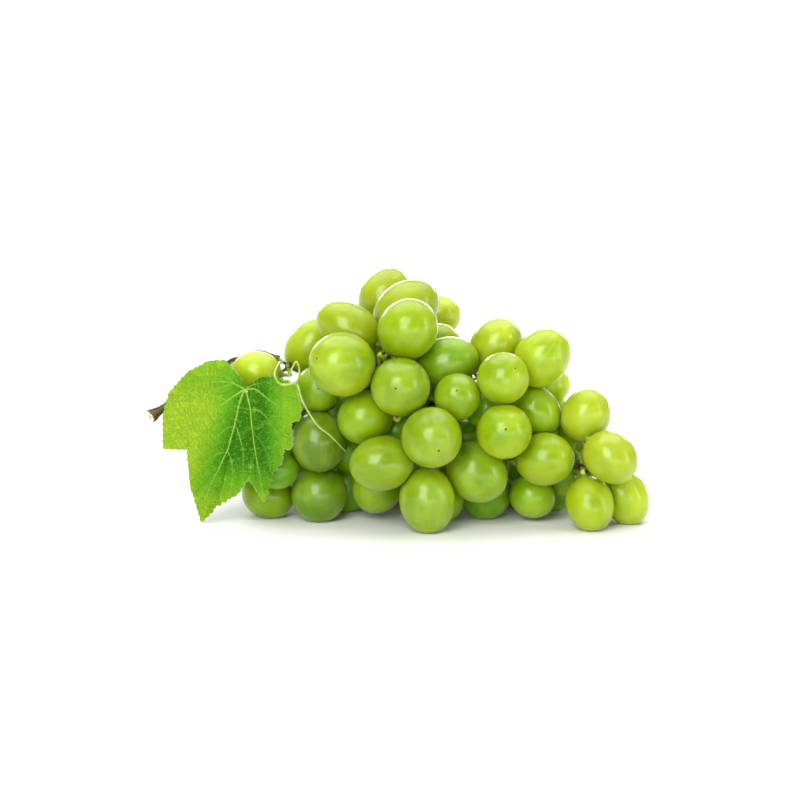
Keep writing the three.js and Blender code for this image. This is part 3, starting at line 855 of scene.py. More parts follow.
def tubeTree():
    # Sweeps a round section along every path and roughens it a little
    tree, given, result = newTree("tubes", {
        "Sides": 12, "Unevenness": 0.05, "Grain": 1.2, "Skin": (),
    })
    curve = addNode(tree, "GeometryNodeMeshToCurve", {"Mesh": out(given, "Geometry")})
    section = addNode(tree, "GeometryNodeCurvePrimitiveCircle", {
        "Resolution": out(given, "Sides"), "Radius": 1.0,
    }, mode="RADIUS")
    run = addNode(tree, "GeometryNodeSplineParameter")

    def stored(line, name, measure):
        return out(addNode(tree, "GeometryNodeStoreNamedAttribute", {
            "Geometry": out(line), "Name": name, "Value": out(run, measure),
        }, data_type="FLOAT", domain="POINT"))

    swept = addNode(tree, "GeometryNodeCurveToMesh", {
        "Curve": stored(curve, "along", "Length"),
        "Profile Curve": stored(section, "around", "Factor"),
        "Scale": attributeNode(tree, "thick"), "Fill Caps": True,
    })
    rough = roughened(tree, out(swept), out(given, "Unevenness"), out(given, "Grain"), 2.0)
    closeTree(tree, rough, given, result)
    return tree


tubes = tubeTree()


def addTubes(name, paths, skin, make):
    # make: sides, unevenness, and how many rough spots there are to a millimetre
    sides, unevenness, grain = make
    settings = {"Sides": sides, "Unevenness": unevenness, "Grain": grain, "Skin": skins[skin]}
    return baked(name, pathObject(name, paths), tubes, settings)


def addUv(mesh):
    # A UV map from how far round and how far along the tube a point is
    around = readAttribute(mesh, "around")
    along = readAttribute(mesh, "along")
    layer = mesh.uv_layers.new(name="skin")
    corners = np.empty(len(mesh.loops), dtype=int)
    mesh.loops.foreach_get("vertex_index", corners)
    values = np.column_stack([around[corners], along[corners] * 100])  # centimetres along
    layer.data.foreach_set("uv", values.ravel())


def discFaces(rings, segments):
    # A point and the rings of points round it, in that order
    faces = []
    for i in range(segments):
        after = (i + 1) % segments
        faces.append([0, 1 + i, 1 + after])
        for inner in range(1, 1 + (rings - 1) * segments, segments):
            outer = inner + segments
            faces.append([inner + i, outer + i, outer + after, inner + after])
    return faces


def closedFaces(rings, segments):
    # The same, closed by one last point
    last = 1 + rings * segments
    edge = last - segments
    cap = [[edge + i, last, edge + (i + 1) % segments] for i in range(segments)]
    return discFaces(rings, segments) + cap


def newPiece(name, points, faces, skin, fields):
    mesh = bpy.data.meshes.new(name)
    mesh.from_pydata(placed(points), [], faces)
    for label, values in fields.items():
        setAttribute(mesh, label, values, "FLOAT" if np.ndim(values) == 1 else "FLOAT_VECTOR")
    mesh.materials.append(skins[skin])
    mesh.shade_smooth()
    return newObject(name, mesh)


berryShape = {
    "segments": 48,
    "bandAngle": 4.6,  # degrees between rings away from the poles
    "tipRings": (0, 0.02, 0.036, 0.046, 0.058, 0.085, 0.13, 0.19),  # angles from the flower scar
    "rootRings": (0.27, 0.2, 0.14, 0.09, 0.045, 0),  # angles from the stem end
    "bands": (0.26, 0.34),  # where the even rings begin and end, from the scar and the stem end
    "egg": 0.025,  # how much fuller it is towards its stem end
    "plump": 0.32,  # how far the skin stands past the settled form, so that neighbours touch
    "dimpleDepth": 0.055,  # shares of the half length
    "dimpleAngle": 0.30,
    "scarHeight": 0.018,
    "scarAngle": 0.05,
    "collarDepth": 0.012,  # a faint hollow round the scar
    "collarAngle": 0.1,
    "collarWidth": 0.05,
    "unevenness": 0.16,
    "lumps": 0.11,  # to a millimetre
    "seed": 3,
    "looksSeed": 29,
    "contactBlend": 0.12,
    "contactGap": 0.03,
    "floorGap": 0.05,
    "crowdNear": 15,  # a neighbour this near counts fully as crowding, one at crowdFar not at all
    "crowdFar": 35,
    # Past the first a berry is greener, partly as painted shade; past the second its flesh gets
    # painted light
    "manyNear": (5.4, 4.5),  # crowding past which a berry is greener, and lighter in its flesh
}


def berryTemplate():
    # One berry of radius 1 on Z: its stem end with a dimple at -Z, its dry flower scar at +Z
    first, last = berryShape["bands"]
    bands = round((math.pi - first - last) / math.radians(berryShape["bandAngle"]))
    angles = [
        *berryShape["tipRings"], *np.linspace(first, math.pi - last, bands),
        *[math.pi - angle for angle in berryShape["rootRings"]],
    ]
    segments = berryShape["segments"]
    points = []
    tips = []
    meridians = []
    for angle in angles:
        height = math.cos(angle)
        radius = math.sin(angle) * (1 - berryShape["egg"] * math.sin(angle) * height)
        fromRoot = (math.pi - angle) / berryShape["dimpleAngle"]
        fromCollar = (angle - berryShape["collarAngle"]) / berryShape["collarWidth"]
        height += berryShape["dimpleDepth"] * math.exp(-2 * fromRoot ** 2)
        height += berryShape["scarHeight"] * clamp((berryShape["scarAngle"] - angle) / 0.02)
        height -= berryShape["collarDepth"] * math.exp(-(fromCollar ** 2))
        count = 1 if angle in (0, math.pi) else segments
        for i in range(count):
            turn = 2 * math.pi * i / segments
            points.append((radius * math.cos(turn), radius * math.sin(turn), height))
            tips.append(angle)
            meridians.append((math.cos(turn), math.sin(turn), math.cos(angle)))
    mesh = bpy.data.meshes.new("berry_template")
    mesh.from_pydata(points, [], closedFaces(len(angles) - 2, segments))
    setAttribute(mesh, "tipAngle", tips)
    setAttribute(mesh, "meridian", meridians, "FLOAT_VECTOR")
    return newObject("berry_template", mesh)


def berryTree():
    # Stands a berry on every point, turned along its axis and drawn out to its length and width
    tree, given, result = newTree("berries", {
        "Berry": "", "Unevenness": 0.16, "Lumps": 0.11, "Seed": 3, "Skin": (),
    })
    shape = addNode(tree, "GeometryNodeObjectInfo", {"Object": out(given, "Berry")})
    turned = addNode(tree, "FunctionNodeAlignRotationToVector", {
        "Vector": attributeNode(tree, "axis", "FLOAT_VECTOR"),
    }, axis="Z")
    roll = addNode(tree, "FunctionNodeRandomValue", {
        "Min": 0.0, "Max": 2 * math.pi, "Seed": out(given, "Seed"),
    }, data_type="FLOAT")
    rolled = addNode(tree, "FunctionNodeAxisAngleToRotation", {
        "Axis": (0, 0, 1), "Angle": out(roll),
    })
    turned = addNode(tree, "FunctionNodeRotateRotation", {
        "Rotation": out(turned), "Rotate By": out(rolled),
    }, rotation_space="LOCAL")
    copies = addNode(tree, "GeometryNodeInstanceOnPoints", {
        "Points": out(given, "Geometry"), "Instance": out(shape, "Geometry"),
        "Rotation": out(turned), "Scale": attributeNode(tree, "half", "FLOAT_VECTOR"),
    })
    # Made real before they are roughened, so that no two are lumpy in the same way
    real = addNode(tree, "GeometryNodeRealizeInstances", {"Geometry": out(copies)})
    lumpy = roughened(tree, out(real), out(given, "Unevenness"), out(given, "Lumps"), 1.0)
    closeTree(tree, lumpy, given, result)
    return tree


def softLimit(distance, blend):
    # How far past a plane a point may be: none, with a soft start
    return np.where(distance > 8 * blend, distance, blend * np.log1p(np.exp(distance / blend)))


def pressTogether(mesh, own):
    # Neighbours flatten each other halfway between them, and the surface the lowest berries
    points = positions(mesh) / millimetre + [*plan["boxMiddle"], 0.0]
    which = readAttribute(mesh, "berry", kind=int)
    blend = berryShape["contactBlend"]
    for number in own:
        berry = berries[number]
        mine = which == number
        skin = points[mine]
        centre = np.array(berry["centre"])
        for other in berries:
            between = np.array(other["centre"]) - centre
            distance = np.linalg.norm(between)
            if other is berry or distance > plan["farApart"]:
                continue
            direction = between / distance
            ownReach = reach(berry, tuple(direction))
            half = distance * ownReach / (ownReach + reach(other, tuple(direction)))
            half -= berryShape["contactGap"]
            past = softLimit((skin - centre) @ direction - half, blend)
            skin -= past[:, None] * direction
        skin[:, 2] += softLimit(berryShape["floorGap"] - skin[:, 2], blend)
        points[mine] = skin
    mesh.vertices.foreach_set("co", placed(points).ravel())
    mesh.update()


def crowding(berry):
    # How closely the others stand round a berry
    near, far = berryShape["crowdNear"], berryShape["crowdFar"]
    others = [other["centre"] for other in berries if other is not berry]
    gaps = [size(minus(centre, berry["centre"])) for centre in others]
    return sum(clamp((far - gap) / (far - near)) for gap in gaps)


def ripenessAndPaintedLight(berry, chosen, chance):
    # How ripe a berry is, partly as painted shade, and the painted light on its flesh, as chosen
    # or by its place and its neighbours
    if chosen:
        return chosen
    green, light = berryShape["manyNear"]
    crowd = crowding(berry)
    ripe = grapeLook["restRipe"] + grapeLook["ripeAndPaintedShadeByHeight"] * (berry["centre"][2] - 45)
    ripe += grapeLook["ripeByDepth"] * clamp(berry["centre"][1] + 30, -15, 35)
    ripe += grapeLook["ripeByChance"] * (chance - 0.5)
    ripe += grapeLook["ripeAndPaintedShadeByCrowd"] * max(0, crowd - green)
    paintedLight = grapeLook["paintedLightByCrowd"] * clamp(crowd - light, 0, 2.5)
    return clamp(ripe, 0.1, 2), grapeLook["restPaintedLight"] + paintedLight


def addBerries():
    template = berryTemplate()
    tree = berryTree()
    random = randomNumbers(berryShape["looksSeed"])
    plump = berryShape["plump"]
    made = []
    for name in sprays:
        own = [i for i, berry in enumerate(berries) if berry["spray"] == name]
        mesh = bpy.data.meshes.new(name)
        mesh.from_pydata(placed([berries[i]["centre"] for i in own]), [], [])
        halves = []
        ripeAndPaintedLight = []
        chosen = [*grapeLook["flesh"].get(name, ()), *[None] * len(own)]
        for choice, i in zip(chosen, own):
            berry = berries[i]
            wide = (berry["width"] / 2 + plump) * millimetre
            halves.append((wide, wide, (berry["length"] / 2 + plump) * millimetre))
            ripeAndPaintedLight.append(ripenessAndPaintedLight(berry, choice, next(random)))
        setAttribute(mesh, "axis", [berries[i]["axis"] for i in own], "FLOAT_VECTOR")
        setAttribute(mesh, "half", halves, "FLOAT_VECTOR")
        setAttribute(mesh, "berry", own, "INT")
        # Ripeness, partly painted shade, and the painted light that scales each berry's flesh
        setAttribute(mesh, "ripe", [ripe for ripe, _ in ripeAndPaintedLight])
        setAttribute(mesh, "light", [light for _, light in ripeAndPaintedLight])
        setAttribute(mesh, "luck", [40 * next(random) for _ in own])
        setAttribute(mesh, "bloom", [0.35 + 0.65 * next(random) for _ in own])
        piece = baked("berries_" + name, newObject(name, mesh), tree, {
            "Berry": template, "Unevenness": berryShape["unevenness"],
            "Lumps": berryShape["lumps"], "Seed": berryShape["seed"], "Skin": skins["grape"],
        })
        pressTogether(piece.data, own)
        made.append((name, piece))
    bpy.data.objects.remove(template)
    return made


def keep(piece, slotName, *nodes):
    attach(piece, body)
    if nodes:
        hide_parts(*nodes)


for name, piece in addBerries():
    keep(piece, "grape_skin", "spray_" + name)
print("berries made")


stemShape = {
    "pedicelRoot": 0.95,  # radii
    "pedicelWaist": 0.6,
    "pedicelNeck": 0.85,
    "receptacle": 1.6,
    "receptacleLength": 1.3,
    "rootFlare": 1.6,  # how far along it a stem narrows from each swelling
    "neckFlare": 3.2,
    "seat": 0.3,  # how deep the pedicel's end sits in the dimple
    "inBerry": 1.4,  # how far it runs on inside
    "sway": 1.6,
    "stalk": 1.1,
    "stalkTaper": 0.25,
    "stalkRoot": 0.4,  # added where it leaves the rachis
    "knob": 1.7,
    "bow": 2.4,
    "broken": (0.5, 0.45),  # radius of a broken pedicel, and what its torn end adds
    "sprayTube": (10, 0.14, 0.9),
    "rachisTube": (20, 0.25, 0.7),
    "rachisRadii": ((0, 0.5), (0.14, 0.55), (0.3, 1.4), (0.75, 1.6), (1, 1.3)),
    "rachisBrowns": ((0, 0.95), (0.12, 0.55), (0.5, 0.2), (1, 0.1)),
    "jointSwell": 0.55,  # of the rachis, where a spray leaves it
    "jointLength": 2.2,
    "seed": 83,
}


# Short stubs, left where a berry has dropped off.
brokenPedicels = {
    "crown_front": [[(-6, -26, 63), (-6, -27.2, 65), (-8, -28.8, 67.2)]],
    "middle_front": [
        [(8, -22, 50), (3, -28, 44.5), (0.5, -30, 43), (-1.2, -31, 41.7), (-3.9, -30, 44.2)],
    ],
    "tip": [[(74, -26.5, 21), (71.8, -27.5, 21.8), (70.8, -31, 21.2)]],
}


def swayed(point, most, random):
    return plus(point, tuple(most * (next(random) - 0.5) for _ in range(3)))


def pedicel(berry, random):
    # From the spray's stalk to the dimple: thin at its waist, thick where it holds the berry
    start, knob = knobs[berry["spray"]]
    share = nearestOn(berry["centre"], start, knob)[1]
    root = mix(start, knob, max(plan["bareStalk"], share - plan["pedicelLead"]))
    seat = plus(berry["centre"], berry["axis"], stemShape["seat"] - berry["length"] / 2)
    bend = plus(seat, berry["axis"], -plan["pedicelBend"])
    middle = swayed(mix(root, bend, 0.6), stemShape["sway"], random)
    inside = plus(seat, berry["axis"], stemShape["inBerry"])
    points = smoothPath([root, middle, bend, seat, inside], 0.35)
    fromSeat = distances(points, seat)
    fromRoot = distances(points, root)
    past = (points - np.array(seat)) @ np.array(berry["axis"]) > 0
    waist, neck = stemShape["pedicelWaist"], stemShape["pedicelNeck"]
    radii = np.full(len(points), waist)
    radii += (stemShape["pedicelRoot"] - waist) * fade(fromRoot, stemShape["rootFlare"])
    radii += (neck - waist) * bell(fromSeat, stemShape["neckFlare"])
    cap = np.exp(-((fromSeat / stemShape["receptacleLength"]) ** 4))
    radii += (stemShape["receptacle"] - neck) * cap
    radii[past] *= 0.9
    browns = 0.9 * fade(fromRoot, 1.8) + 0.5 * bell(fromSeat - 0.2, 0.7) * next(random)
    return points, radii, browns


def sprayPaths(name, random):
    # The stalk with its knob, the pedicels that leave it, and any broken ones
    start, knob = knobs[name]
    own = [berry for berry in berries if berry["spray"] == name]
    full = clamp((len(own) - 2) / 2)  # a spray of few berries has hardly a knob
    stalk = smoothPath([start, swayed(mix(start, knob, 0.5), stemShape["bow"], random), knob], 0.5)
    run = np.linspace(0, 1, len(stalk))
    fromRoot = run * size(minus(knob, start))
    fromKnob = (1 - run) * size(minus(knob, start))
    radii = stemShape["stalk"] - stemShape["stalkTaper"] * run
    radii += stemShape["stalkRoot"] * fade(fromRoot, 1.8)
    swell = stemShape["knob"] - stemShape["stalk"] + stemShape["stalkTaper"]
    radii += swell * full * bell(fromKnob, 1.9)
    browns = 0.25 + 0.5 * fade(fromRoot, 2.5) + 0.9 * full * fade(fromKnob, 2.6)
    paths = [(stalk, radii, browns), *[pedicel(berry, random) for berry in own]]
    thin, torn = stemShape["broken"]
    for line in brokenPedicels.get(name, ()):
        points = smoothPath(line, 0.35)
        run = np.linspace(0, 1, len(points))
        # Their ends run to the pale torn colour, which is partly painted light
        paths.append((points, thin + torn * run ** 2, 0.3 - run))
    return paths


def addStems():
    random = randomNumbers(stemShape["seed"])
    for name in sprays:
        paths = sprayPaths(name, random)
        piece = addTubes("stems_" + name, paths, "stem", stemShape["sprayTube"])
        keep(piece, "green_stem", "spray_" + name)
    line = smoothPath(rachis, 0.5)
    near = np.zeros(len(line))
    for start, _ in knobs.values():
        near = np.maximum(near, bell(distances(line, start), stemShape["jointLength"]))
    radii = alongRun(line, stemShape["rachisRadii"])
    radii += stemShape["jointSwell"] * near * np.clip((line[:, 0] + 40) / 20, 0, 1)
    browns = alongRun(line, stemShape["rachisBrowns"]) + 0.4 * near
    piece = addTubes("rachis_stem", [(line, radii, browns)], "stem", stemShape["rachisTube"])
    keep(piece, "green_stem", "rachis")


addStems()
print("stems made")


caneShape = {
    "radius": (1.55, 0.85),  # next to the cut end, and at the first berries
    "cutRadius": 2.7,
    "cutFlare": 3.2,
    "nodeSwell": 0.6,
    "nodes": (3, 5),
    "nodeLength": 2.6,
    "greenFrom": 50,  # from the cut end; the bark is younger and greener past it
    "greenOver": 12,
    "greenMost": 0.45,
    "tube": (24, 0.3, 0.8),
    "cutRings": (0.0, 0.1, 0.2, 0.3, 0.42, 0.55, 0.68, 0.8, 0.9, 1.0),
    "cutSegments": 40,
    "cutDome": (0.22, 0.28),  # how far its middle stands out, and how much lower its rim is
    "cutTorn": 0.7,
    "cutDepth": 0.8,
    "cutSeed": 7,
}


def addCane():
    line = smoothPath(cane, 0.35)
    thick, thin = caneShape["radius"]
    fromCut = distances(line, line[0])
    radii = np.linspace(thick, thin, len(line))
    radii += (caneShape["cutRadius"] - thick) * bell(fromCut, caneShape["cutFlare"])
    fresh = (fromCut - caneShape["greenFrom"]) / caneShape["greenOver"]
    fresh = np.clip(fresh, 0, caneShape["greenMost"])
    for i in caneShape["nodes"]:
        radii += caneShape["nodeSwell"] * bell(distances(line, cane[i]), caneShape["nodeLength"])
    piece = addTubes("shoot_bark", [(line, radii, fresh)], "bark", caneShape["tube"])
    setAttribute(piece.data, "fresh", readAttribute(piece.data, "brown"))
    addUv(piece.data)
    keep(piece, "woody_shoot", "cane")
    return line


def addCutEnd(line):
    # A faintly domed face with a torn rim, closed at its back, set on the end of the shoot
    end = Vector(line[0])
    outward = Vector(line[0] - line[4]).normalized()
    side = outward.orthogonal().normalized()
    up = outward.cross(side)
    rings = caneShape["cutRings"]
    segments = caneShape["cutSegments"]
    middle, fall = caneShape["cutDome"]
    random = randomNumbers(caneShape["cutSeed"])
    points = []
    rims = []
    for ring in rings:
        for i in range(segments if ring else 1):
            turn = 2 * math.pi * i / segments
            torn = caneShape["cutTorn"] * (next(random) - 0.5) * (0.3 + ring)
            radius = ring * (caneShape["cutRadius"] - 0.02)
            at = end + side * radius * math.cos(turn) + up * radius * math.sin(turn)
            points.append(tuple(at + outward * (middle - fall * ring ** 3 + torn)))
            rims.append(ring)
    points.append(tuple(end - outward * caneShape["cutDepth"]))
    rims.append(1.0)
    faces = closedFaces(len(rings) - 1, segments)
    keep(newPiece("shoot_cut_end", points, faces, "cut", {"rim": rims}), "woody_shoot")


addCutEnd(addCane())

tendrilShape = {
    "stalk": 0.46,
    "root": 0.35,  # added where it leaves the shoot
    "fork": 0.25,  # and where it forks
    "arm": [(0, 0.5), (0.1, 0.36), (0.8, 0.34), (1, 0.14)],  # radii along each arm
    "dryFrom": 0.93,  # share of an arm past which its tip is dry
    "tube": (12, 0.06, 0.8),
}


def addTendril():
    stalk = smoothPath(tendril, 0.35)
    run = np.linspace(0, 1, len(stalk))
    radii = tendrilShape["stalk"] + tendrilShape["root"] * fade(run, 1 / 12)
    radii += tendrilShape["fork"] * bell(1 - run, 1 / 14)
    paths = [(stalk, radii, 0.7 * fade(run, 0.1) + 0.25 * bell(1 - run, 0.1))]
    dryFrom = tendrilShape["dryFrom"]
    for arm in tendrilArms:
        line = smoothPath(arm, 0.3)
        run = np.linspace(0, 1, len(line))
        dry = 0.5 * np.clip((run - dryFrom) / (1 - dryFrom), 0, 1)
        paths.append((line, alongRun(line, tendrilShape["arm"]), dry))
    piece = addTubes("tendril_stem", paths, "tendril", tendrilShape["tube"])
    keep(piece, "tendril_green", "tendril")


addTendril()
print("shoot and tendril made")


# The edge from the front, as x, z and the depth of the teeth on the stretch that follows.
leafEdge = [
    (-59, 55.5, 0), (-62, 60.5, 0), (-67, 65, 0.6), (-74, 64.5, 0.6), (-82, 60, 0.6),
    (-90, 51, 0.6), (-93, 41.5, 0.6), (-93, 28, 0.5), (-83, 29, 0.6), (-82, 14, 0.7),
    (-77.5, 0.8, 1), (-71.5, 8, 1), (-63, 13, 0.8), (-58.5, 19.5, 0.8), (-52.5, 10, 1.1),
    (-49, 22, 1.1), (-45.5, 26, 1.1), (-45, 31, 1), (-41.5, 31.5, 1.1), (-42, 41.5, 0.6),
    (-38.5, 42.5, 1.1), (-38, 48, 1.1), (-40, 56, 0.9), (-48.5, 59.5, 0.7), (-54, 58.5, 0.3),
]
leafShape = {
    "middle": (-59.5, 50),
    "veinsMeet": (-59, 54.5),
    "front": -34.5,
    "foldX": -57,
    "bend": 0.0115,
    "lean": 0.0026,
    "top": 57,
    "roll": 0.035,
    "wave": 0.7,
    "waveLength": 15,
    "toothPitch": 2.4,
    "toothTip": 0.62,
    "toothSeed": 17,
    "thickness": 0.62,
    "rings": 76,
    "edgeStep": 0.42,
    "puff": 0.55,  # how far the blade bulges between its veins
    "groove": 0.2,  # how far it sinks along them
    "veinReach": 3.2,
    "veinStep": 0.5,
    "veinColour": (0.7, 0.14),  # strength, and how far past the vein itself
    "downy": [((-57, 16), 40), ((-62, 61), 16)],  # pale spots at the edge, and their extent
    "downWidth": 0.5,
    "petiole": 0.95,
    "petioleFlare": 0.6,
    "ribTube": (10, 0.02, 1.0),
}
# Veins: half width at the root, then x, z from where each one starts
veins = [
    (0.27, [
        (-60, 53.7), (-61.6, 49.4), (-62.8, 44.3), (-63.8, 39.9), (-65.1, 35.6), (-66.4, 30.9),
        (-68.1, 27.3), (-69.8, 23.6), (-73.7, 15.8), (-76.1, 9.3), (-77.1, 5),
    ]),
    (0.25, [
        (-59.1, 53.7), (-58.3, 50.2), (-57.5, 46.4), (-57.2, 42.1), (-56.7, 37.4), (-56.2, 32.2),
        (-55, 25.3), (-53.8, 19.6), (-53.1, 13.5),
    ]),
    (0.23, [
        (-60, 54.1), (-64.3, 51.3), (-67, 49.3), (-69.8, 47.2), (-74, 43.8), (-79.1, 39.7),
        (-83.3, 36), (-90.5, 31),
    ]),
    (0.2, [
        (-60, 54.5), (-63.1, 56.2), (-65, 56.9), (-69.4, 57), (-75, 56.2), (-79.7, 55.7),
        (-85.6, 54.6),
    ]),
    (0.2, [(-59.3, 54.3), (-56.9, 54.5), (-55, 54.1), (-50.4, 50.4), (-45, 46.3), (-40.5, 43.6)]),
    (0.16, [(-66.6, 49.7), (-69, 50.9), (-71.8, 51.3), (-77.4, 50.5), (-80.6, 50), (-91, 46.4)]),
    (0.14, [(-63.1, 56.2), (-66.2, 58.7), (-71, 60.7), (-77, 61.2)]),
    (0.14, [
        (-57.4, 46.4), (-54.6, 46.2), (-52.7, 44.8), (-50.8, 42.6), (-46.9, 36.7), (-45.3, 33),
    ]),
    (0.11, [(-56.7, 37.4), (-54.7, 35.3), (-52.7, 32.3), (-51.1, 28.5), (-50, 24)]),
    (0.16, [(-63.9, 39.7), (-65.9, 39.2), (-68.3, 37.7), (-71.1, 35), (-79.1, 29.2), (-83, 26.5)]),
    (0.15, [
        (-63.7, 39.7), (-62.9, 39), (-61.9, 36.2), (-61.1, 33.1), (-60.6, 30.3), (-60.6, 24),
        (-60.9, 17),
    ]),
    (0.15, [
        (-66.5, 29.9), (-65.5, 27.5), (-64.9, 25.2), (-64.8, 22.4), (-65.4, 15.9), (-66.2, 13),
    ]),
    (0.15, [(-67.1, 29.5), (-69.9, 28.7), (-72.7, 27.2), (-78.4, 22.2), (-82, 18.8)]),
    (0.12, [(-69.8, 23.6), (-73.9, 21.2), (-76.4, 19.3), (-80.3, 14.9)]),
    (0.09, [(-73.7, 15.8), (-75.1, 14.6), (-77.2, 12.6), (-79, 10)]),
    (0.1, [(-56, 29.1), (-57.2, 26), (-57.7, 23.3), (-58, 20)]),
    (0.09, [(-65, 56.9), (-68.6, 54.7), (-72.6, 53.6), (-78.2, 53.1), (-86, 52)]),
    (0.09, [(-74, 43.8), (-77.5, 44), (-82.4, 43.4), (-92, 41)]),
    (0.08, [(-79.1, 39.7), (-83.2, 39.7), (-92, 37)]),
    (0.09, [(-58.6, 55.1), (-55, 56.4), (-50, 57.2), (-43, 56.6)]),
]


def leafOutline():
    # Small hooked teeth along each stretch between the points of the lobes, no two quite alike
    random = randomNumbers(leafShape["toothSeed"])
    points = []
    for i, (x, z, tooth) in enumerate(leafEdge):
        nextX, nextZ, _ = leafEdge[(i + 1) % len(leafEdge)]
        run = math.hypot(nextX - x, nextZ - z)
        count = max(1, round(run / leafShape["toothPitch"])) if tooth else 0
        points.append((x, z))
        for n in range(count):
            if n:
                share = (n + 0.4 * (next(random) - 0.5)) / count
                points.append((x + (nextX - x) * share, z + (nextZ - z) * share))
            share = (n + leafShape["toothTip"]) / count
            depth = tooth * (0.45 + 0.6 * next(random))
            outX = (nextZ - z) / run * depth
            outZ = -(nextX - x) / run * depth
            points.append((x + (nextX - x) * share + outX, z + (nextZ - z) * share + outZ))
    return points


def leafDepth(x, z):
    left = np.maximum(0, leafShape["foldX"] - x)
    above = np.maximum(0, z - leafShape["top"])
    bend = leafShape["bend"] * left ** 2 + leafShape["lean"] * left * (leafShape["top"] - z)
    bend += leafShape["roll"] * above ** 2
    wave = leafShape["wave"] * np.sin((x - z / 2) / (leafShape["waveLength"] / (2 * math.pi)))
    away = np.hypot(x - leafShape["middle"][0], z - leafShape["middle"][1])
    return leafShape["front"] + bend + wave * np.minimum(1, away / leafShape["waveLength"])


def veinPaths():
    lines = []
    for half, points in veins:
        line = smoothPath([(x, 0, z) for x, z in points], leafShape["veinStep"])[:, (0, 2)]
        lines.append((half * np.linspace(1, 0.4, len(line)), line))
    return lines


def nearVeins(points, paths):
    # Distance from every point to the nearest vein, the vein's half width and the run along it
    best = np.full(len(points), 99.0)
    width = np.zeros(len(points))
    run = np.zeros(len(points))
    for number, (halves, line) in enumerate(paths):
        for i, half in enumerate(halves):
            away = np.hypot(points[:, 0] - line[i, 0], points[:, 1] - line[i, 1])
            closer = away < best
            best[closer] = away[closer]
            width[closer] = half
            run[closer] = i * leafShape["veinStep"] + 50 * number
    return best, width, run


def leafSurface(flat, edge, paths):
    # How far back the middle of the blade lies, half its thickness, and what is near each point
    away, width, run = nearVeins(flat, paths)
    share = np.clip(away / leafShape["veinReach"], 0, 1)
    puffed = leafShape["puff"] * share * share * (3 - 2 * share)
    sunk = leafShape["groove"] * bell(away, width * 1.6)
    toEdge = np.min([np.hypot(flat[:, 0] - x, flat[:, 1] - z) for x, z in edge], axis=0)
    depth = leafDepth(flat[:, 0], flat[:, 1]) - (puffed - sunk) * np.clip(toEdge / 3, 0, 1)
    half = leafShape["thickness"] / 2 * np.clip(0.45 + toEdge / 1.5, 0, 1)
    return depth, half, toEdge, away, width, run


def bladeFields(flat, toEdge, away, width, run):
    x, z = flat.T
    # Paler and yellower to the left, at the right edge and in the lower tip, deep green in
    # between:
    # partly younger tissue, partly painted light where the blade turns to the lamps and painted
    # shade in the middle where it turns away
    youngAndPaintedLight = np.clip(0.1 + ((-61 - x) - (50 - z) * 0.33) / 15, 0.04, 1)
    youngAndPaintedLight -= 0.35 * np.clip((z - 46) / 10, 0, 1) * np.clip((-61 - x) / 10, 0, 1)
    youngAndPaintedLight = np.maximum(youngAndPaintedLight, np.clip((x + 53) / 14, 0, 0.6))
    youngAndPaintedLight = np.maximum(youngAndPaintedLight, np.clip((28 - z) / 26, 0, 0.75))
    # Pale downy edges: along the right side, round the lower cut and beside the petiole
    downy = np.clip((x + 52) / 5, 0, 1)
    for (spotX, spotZ), extent in leafShape["downy"]:
        spot = np.exp(-((x - spotX) ** 2 + (z - spotZ) ** 2) / extent)
        downy = np.maximum(downy, spot)
    strength, past = leafShape["veinColour"]
    return {
        "youngAndPaintedLight": youngAndPaintedLight,
        "vein": strength * bell(away, width + past),
        "rim": 0.9 * downy * np.clip(1.3 - toEdge / leafShape["downWidth"], 0, 1),
        "venation": np.column_stack([run, away, np.zeros(len(flat))]),
    }


def addBlade(outline, paths):
    # Rings of points from the middle out to the toothed edge, on a front and a back face
    edge = []
    for (ax, az), (bx, bz) in zip(outline, outline[1:] + outline[:1]):
        count = max(1, round(math.hypot(bx - ax, bz - az) / leafShape["edgeStep"]))
        edge += [(ax + (bx - ax) * i / count, az + (bz - az) * i / count) for i in range(count)]
    edge = np.array(edge)
    middle = np.array(leafShape["middle"])
    shares = np.linspace(0, 1, leafShape["rings"] + 1)[1:] ** 0.85
    flat = np.vstack([middle[None], *[middle + (edge - middle) * share for share in shares]])
    depth, half, *near = leafSurface(flat, edge[::2], paths)
    front = np.column_stack([flat[:, 0], depth - half, flat[:, 1]])
    back = np.column_stack([flat[:, 0], depth + half, flat[:, 1]])
    count = len(edge)
    under = len(flat)
    rim = under - count
    faces = discFaces(len(shares), count)
    # The back face turns the other way
    faces += [[under + corner for corner in (face[0], *face[:0:-1])] for face in faces]
    for i in range(count):
        after = (i + 1) % count
        faces.append([rim + i, under + rim + i, under + rim + after, rim + after])
    fields = bladeFields(flat, *near)
    both = {name: np.concatenate([values, values]) for name, values in fields.items()}
    blade = newPiece("leaf_blade", np.vstack([front, back]), faces, "leaf", both)
    keep(blade, "vine_leaf", "leaf")


def addRibs(outline, paths):
    # Each vein stands a little proud of both faces of the blade
    ribs = []
    for halves, line in paths:
        depth, thin, *_ = leafSurface(line, outline, paths)
        flush = 0.5 * fade(distances(line, leafShape["veinsMeet"]), 1.6)
        for side in (-1, 1):
            points = np.column_stack([line[:, 0], depth + side * thin, line[:, 1]])
            ribs.append((points, halves, flush))
    stalk = smoothPath(petiole, 0.4)
    run = np.linspace(0, 1, len(stalk))
    thick = leafShape["petiole"] + leafShape["petioleFlare"] * fade(1 - run, 1 / 14)
    ribs.append((stalk, thick, 0.3 * fade(run, 1 / 14) + 0.5 * fade(1 - run, 1 / 8)))
    keep(addTubes("leaf_ribs", ribs, "rib", leafShape["ribTube"]), "vine_leaf", "leaf")


def addLeaf():
    outline = leafOutline()
    paths = veinPaths()
    addBlade(outline, paths)
    addRibs(outline, paths)


